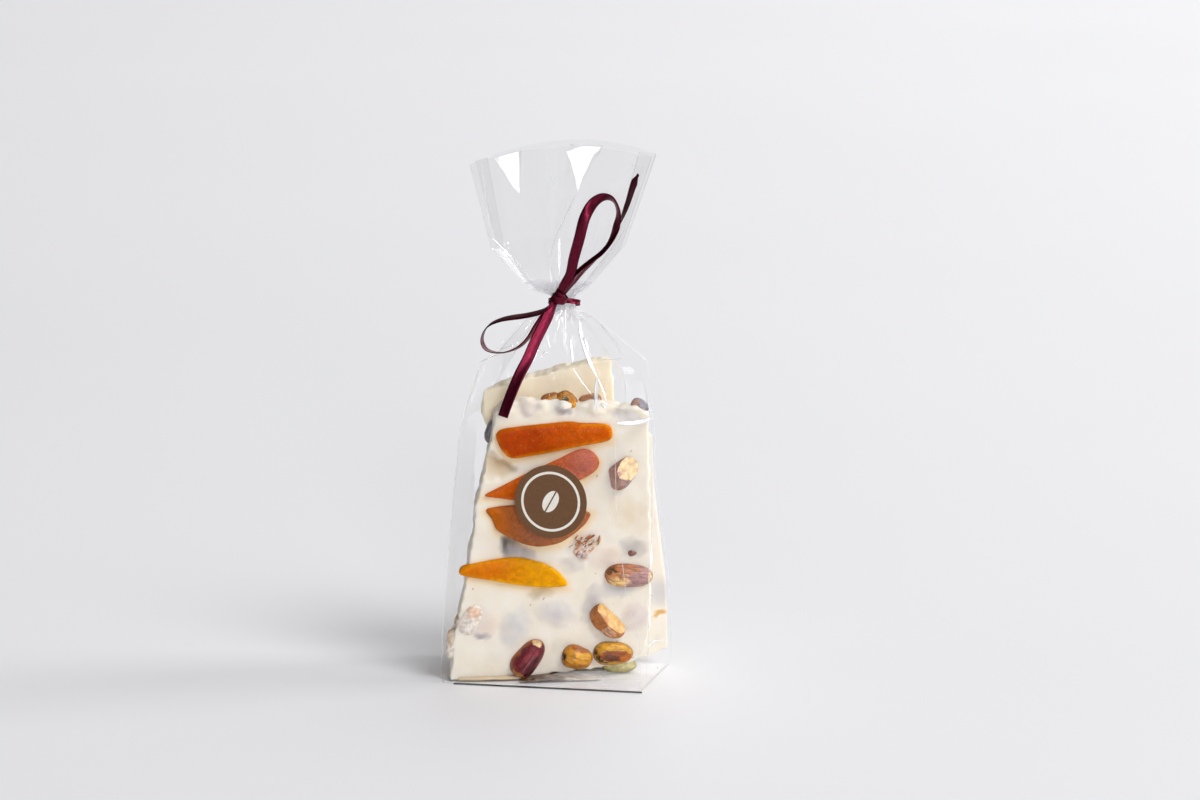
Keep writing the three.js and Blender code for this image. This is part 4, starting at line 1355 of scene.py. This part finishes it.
# How far kernels there keep from the shard's edge, from the fruit and from one another. Past a place along
# a shard, and below a height, the shard in the corner covers the others' backs.
NUT_EDGE_GAP = 6
NUT_FRUIT_GAP = 9
NUT_SPACING = 15
COVERED_FROM = 38
COVERED_TO = 92
SCATTER_TRIES = 600


def kernel(look, seed):
    """A nut kernel about its own middle in its shard's directions: blunt, ribbed along its length, with
    patches of colour and, where it broke, a flat cut"""
    length, width = look["size"]
    segments, rings = FINE_MESH if seed < FINE_KERNELS else PLAIN_MESH
    bpy.ops.mesh.primitive_uv_sphere_add(segments=segments, ring_count=rings, radius=1)
    nut = bpy.context.object
    ball = positions(nut) * MM
    along = ball[:, 2]
    blunt = np.sqrt(np.maximum(1 - np.abs(along) ** KERNEL_BLUNTNESS, 0))
    girth = blunt / np.sqrt(np.maximum(1 - along ** 2, 1e-6))
    girth = np.minimum(girth, 1.6) * (1 - 0.12 * along)
    turn = np.arctan2(ball[:, 1], ball[:, 0])
    wrinkle = rumple(np.stack([2.2 * np.cos(turn), 2.2 * np.sin(turn), along], axis=1), 0.5, seed)
    girth *= 1 + 0.03 * np.cos(5 * turn + seed) + 0.035 * wrinkle + 0.05 * rumple(ball, 0.8, seed + 1)
    places = np.stack([
        along * length / 2, ball[:, 1] * girth * width * KERNEL_DEPTH, ball[:, 0] * girth * width / 2,
    ], axis=1)
    colours = np.tile(linear(look["skin"]), (len(ball), 1))
    ragged = 0.45 * rumple(ball, 0.3, seed + 2)
    for at, aside, reach, spread, code in look["patches"]:
        over = 1.3 - ((along - at) / reach) ** 2 - ((ball[:, 0] - aside) / spread) ** 2 + ragged
        colours = mixed(colours, 2.5 * over, linear(code))
    rim = 0.85 * np.clip(1.15 + 2.2 * ball[:, 1] + ragged, 0, 1)
    colours = mixed(colours, rim, linear(look["rim"]))
    colours[:, 3] = 1 - look.get("worn", 0)
    tilt = math.radians(look["angle"])
    lie = np.array(((math.cos(tilt), 0, -math.sin(tilt)), (0, 1, 0), (math.sin(tilt), 0, math.cos(tilt))))
    move_points(nut, places @ lie.T)
    paint(nut, "skin", colours)
    for facing, reach, code in look.get("cuts", ()):
        facing = Vector(facing).normalized()
        with edit_mode():
            bpy.ops.mesh.bisect(plane_co=facing * reach * MM, plane_no=facing, use_fill=True,
                                clear_outer=True, threshold=1e-7)
            bpy.ops.mesh.poke()
        flat = np.abs(positions(nut) @ np.array(facing) - reach) < 0.01
        layer = nut.data.color_attributes["skin"]
        shades = np.empty(len(nut.data.vertices) * 4)
        layer.data.foreach_get("color", shades)
        shades = shades.reshape(-1, 4)
        shades[flat] = linear(code, 0)
        layer.data.foreach_set("color", shades.ravel())
    bpy.ops.object.shade_smooth_by_angle(angle=math.radians(35))
    return nut


def scatter(draw, outline, fruit, count):
    """Places over a shard's face, clear of its edge, of the fruit and of one another"""
    low, high = np.min(outline, axis=0), np.max(outline, axis=0)
    found = []
    for _ in range(SCATTER_TRIES):
        s, z = draw.uniform(low[0], high[0]), draw.uniform(low[1], high[1])
        here = np.array([(s, 0, z)])
        clear = edge_distance(here, outline)[0] > NUT_EDGE_GAP and (s < COVERED_FROM or z > COVERED_TO)
        clear = clear and all(edge_distance(here, strip)[0] < -NUT_FRUIT_GAP for strip in fruit)
        if clear and all(math.hypot(s - a, z - b) > NUT_SPACING for a, b in found) and len(found) < count:
            found.append((s, z))
    return found


def pistachio_kernels(finish):
    """All the nut kernels that show, as one piece"""
    nuts = []
    for i, look in enumerate(KERNELS):
        nut = kernel(look, i)
        s, z, depth = look["at"]
        move_points(nut, keep_inside(into_bag(positions(nut) + (s, depth, z), FRONT_SHARD)))
        nuts.append(nut)
    draw = random.Random(NUT_SEED)
    for shard, count in OTHER_NUTS:
        fruit = [strip["outline"] for other, strip in BACK_APRICOTS if other is shard]
        for s, z in scatter(draw, shard["outline"], fruit, count):
            skin, rim = draw.choice(OTHER_SKINS)
            look = {
                "size": (draw.uniform(*OTHER_LENGTHS), draw.uniform(*OTHER_WIDTHS)),
                "angle": draw.uniform(0, 180),
                "skin": skin, "rim": rim,
                "patches": ((draw.uniform(-0.6, 0.6), draw.uniform(-0.4, 0.4), 0.4, 0.5, rim),),
            }
            nut = kernel(look, draw.randint(20, 99))
            places = positions(nut)
            if shard is not SIDE_SHARD:
                places = turned_over(nut, places, shard)
            move_points(nut, keep_inside(into_bag(places + (s, 0, z), shard)))
            nuts.append(nut)
    dress(joined(nuts, "pistachio_kernels"), finish, "nut_kernel", "bag")


# Clusters of broken crumbs on the front shard: place along and up it, spread, how many, their size and
# depth, and colours
CRUMBS = (
    (50.6, 54.6, 1.3, 14, 1.1, -1.1, ("#dc9c70", "#cc7a44", "#f2dcd0", "#e8b898")),
    (54, 54.2, 1.7, 18, 1.1, -1.2, ("#d2844c", "#eec8ac", "#a8642f", "#f2e2d8")),
    (52.4, 51.8, 1.3, 12, 1.0, -1.1, ("#e09058", "#efc4a6", "#f4e6da")),
    (56.6, 55.8, 1.4, 10, 1.0, -1.1, ("#d9a050", "#f2dcc8", "#b5783c", "#e8b87a")),
    (54, 54, 2.4, 8, 0.6, -1.3, ("#9a6238", "#c88a58", "#f2dcc8")),
    (24, 109.6, 1.6, 3, 0.8, -0.1, ("#e2b050", "#d8a060")),
    (33, 110, 2, 4, 0.8, -0.1, ("#c08a5c", "#d0a07a")),
    (60, 60, 22, 12, 0.5, -0.1, ("#d9a050", "#d09868", "#e0b46a")),
    (40, 30, 30, 16, 0.45, -0.1, ("#d8a478", "#c98a58", "#ddb06a")),
    (70, 18, 8, 6, 0.5, -0.1, ("#c98a58", "#b57a4c")),
)


def nut_crumbs(finish):
    """Crumbs of nut and skin that lie on the front shard, as one piece"""
    draw = random.Random(CRUMB_SEED)
    crumbs = []
    for s, z, spread, count, size, depth, codes in CRUMBS:
        for _ in range(count):
            bpy.ops.mesh.primitive_ico_sphere_add(subdivisions=2, radius=1)
            crumb = bpy.context.object
            ball = positions(crumb) * MM
            wide = size * draw.uniform(0.4, 1)
            knobs = 1 + 0.35 * rumple(ball, 0.8, draw.random() * 50)[:, None]
            places = ball * knobs * (wide * draw.uniform(0.8, 2), 0.45 * size, wide * 0.5)
            turn = draw.uniform(-0.3, 1.2)
            c, n = math.cos(turn), math.sin(turn)
            places = places @ np.array(((c, 0, n), (0, 1, 0), (-n, 0, c)))
            where = (draw.gauss(s, spread), depth, draw.gauss(z, spread))
            move_points(crumb, keep_inside(into_bag(places + where, FRONT_SHARD)))
            paint(crumb, "skin", np.tile(linear(draw.choice(codes)), (len(ball), 1)))
            crumbs.append(crumb)
    whole = joined(crumbs, "nut_crumbs")
    bpy.ops.object.shade_smooth()
    dress(whole, finish, "nut_kernel", "bag")


def bark_shards(finish):
    """The shards of bark, as one piece"""
    # The chip in the gap paints the shadow under the front shard's raised edge, and the strip at its foot
    # paints shade
    faces = (
        ("front", FRONT_SHARD, front_face), ("middle", MIDDLE_SHARD, warm_face),
        ("corner", CORNER_SHARD, corner_face), ("back", BACK_SHARD, None), ("side", SIDE_SHARD, None),
        ("gap", SHADOW_CHIP, shadowed_face), ("foot_shade", FOOT_SHADE, shaded_foot_face),
    )
    shards = [bark_shard(name, shard, seed, face) for seed, (name, shard, face) in enumerate(faces, 1)]
    dress(joined(shards, "bark_shards"), finish, "white_chocolate", "bag")


def paper_seal(paper, ink):
    """The round paper seal, with a thin printed ring and a bean, on the leaning front wall"""
    x, z = SEAL_CENTRE
    lean = math.atan(WALL_LEAN)
    bpy.ops.mesh.primitive_cylinder_add(vertices=128, radius=SEAL_RADIUS * MM, depth=SEAL_THICKNESS * MM)
    seal = bpy.context.object
    seal.name = "paper_seal"
    seal.data.materials.append(paper)
    seal.data.materials.append(ink)
    bpy.ops.object.mode_set(mode="EDIT")
    bpy.ops.mesh.select_mode(type="FACE")
    bpy.ops.mesh.select_all(action="DESELECT")
    bpy.ops.object.mode_set(mode="OBJECT")
    for face in seal.data.polygons:
        face.select = face.normal.z > 0.9
    bpy.ops.object.mode_set(mode="EDIT")
    rings = (SEAL_RADIUS, SEAL_RING[1], SEAL_RING[0], *SEAL_INNER_RINGS)
    for outer, inner in zip(rings, rings[1:]):
        bpy.ops.mesh.inset(thickness=(outer - inner) * MM, depth=0)
    bpy.ops.object.mode_set(mode="OBJECT")
    for face in seal.data.polygons:
        reach = math.hypot(*face.center[:2]) / MM
        if face.normal.z > 0.9 and SEAL_RING[0] < reach < SEAL_RING[1]:
            face.material_index = 1
    halves = []
    for side in (-1, 1):
        bpy.ops.mesh.primitive_cylinder_add(vertices=64, radius=MM, depth=BEAN_THICKNESS * MM)
        half = bpy.context.object
        half.scale = (*BEAN_REACH, 1)
        bpy.ops.object.transform_apply(location=True, rotation=True, scale=True)
        with edit_mode():
            bpy.ops.mesh.bisect(plane_co=(side * BEAN_GAP * MM, 0, 0), plane_no=(side, 0, 0),
                                use_fill=True, clear_inner=True)
        half.rotation_euler = (0, 0, BEAN_TURN)
        half.location = (0, 0, SEAL_THICKNESS / 2 * MM)
        bpy.ops.object.transform_apply(location=True, rotation=True, scale=True)
        half.data.materials.append(ink)
        halves.append(half)
    seal = joined([seal, *halves], "paper_seal")
    out = SEAL_GAP + SEAL_THICKNESS / 2
    seal.rotation_euler = (math.pi / 2 - lean, 0, 0)
    seal.location = Vector((
        x, -wall_depth(z) / 2 - out * math.cos(lean), z + out * math.sin(lean))) * MM
    select_only(seal)
    bpy.ops.object.transform_apply(location=True, rotation=True, scale=True)
    bpy.ops.object.shade_smooth_by_angle(angle=math.radians(30))
    dress(seal, None, "printed_paper", "seal")


def place_light(data, towards, distance):
    """Puts a light in a direction from the bag, shining on it"""
    light = bpy.data.objects.new(data.name, data)
    away = Vector(towards).normalized()
    light.location = Vector(CAMERA_TARGET) * MM + distance * away
    light.rotation_euler = away.to_track_quat("Z", "Y").to_euler()
    bpy.context.collection.objects.link(light)


def studio(finish):
    """A plain pale floor under soft lights: high on the right, overhead, in front and on the right"""
    bpy.ops.mesh.primitive_plane_add(size=FLOOR_SIZE)
    floor = bpy.context.object
    floor.name = "floor"
    floor.data.materials.append(finish)
    scene = bpy.context.scene
    scene.world = bpy.data.worlds.new("studio")
    scene.world.use_nodes = True
    sky = scene.world.node_tree.nodes["Background"]
    sky.inputs["Color"].default_value = SKY_COLOUR
    sky.inputs["Strength"].default_value = SKY_STRENGTH
    sun = bpy.data.lights.new("high_light", "SUN")
    sun.energy = HIGH_LIGHT_POWER
    sun.angle = HIGH_LIGHT_SPREAD
    place_light(sun, HIGH_LIGHT, HIGH_LIGHT_DISTANCE)
    for name, towards, distance, size, power in SOFT_BOXES:
        box = bpy.data.lights.new(name, "AREA")
        box.size = size
        box.energy = power
        place_light(box, towards, distance)
    scene.view_settings.view_transform = "Standard"
    # The camera sees the contents through many layers of film
    scene.cycles.transparent_max_bounces = 40
    scene.cycles.max_bounces = 10


place_camera()
satin = satin_ribbon()
tie_stretch("ribbon_low_tail", LOW_TAIL, LOW_TAIL_ACROSS, "bare", satin, slant=LOW_TAIL_SLANT, knots=1)
tie_stretch("ribbon_left_loop", LEFT_LOOP, LEFT_LOOP_ACROSS, "object", satin, knots=2)
tie_stretch("ribbon_high_loop", HIGH_LOOP, HIGH_LOOP_ACROSS, "object", satin, knots=2)
tie_stretch("ribbon_high_tail", HIGH_TAIL, HIGH_TAIL_ACROSS, "bare", satin, point=HIGH_TAIL_POINT, knots=1)
tie_knot(satin)
film_bag(clear_film())
# The creases' cloudy white is painted highlight
white_creases(creased_film("crease_highlight_film", 0.3, 0.7, 0.2))
neck_gathers(creased_film("gathered_film", 0.1, 0.45, 0.02, (1, 1, 0.25), (151.5, 7)))
bottom_fold(creased_film("folded_bottom_film", 0.0, 0.16, 0.02, (0.12, 1, 1.6)))
bottom_seam(painted_edge_shade())
bark_shards(white_chocolate())
apricot_strips(dried_apricot())
skin = nut_kernel()
pistachio_kernels(skin)
nut_crumbs(skin)
paper_seal(brown_paper(), cream_ink())
studio(white_board())
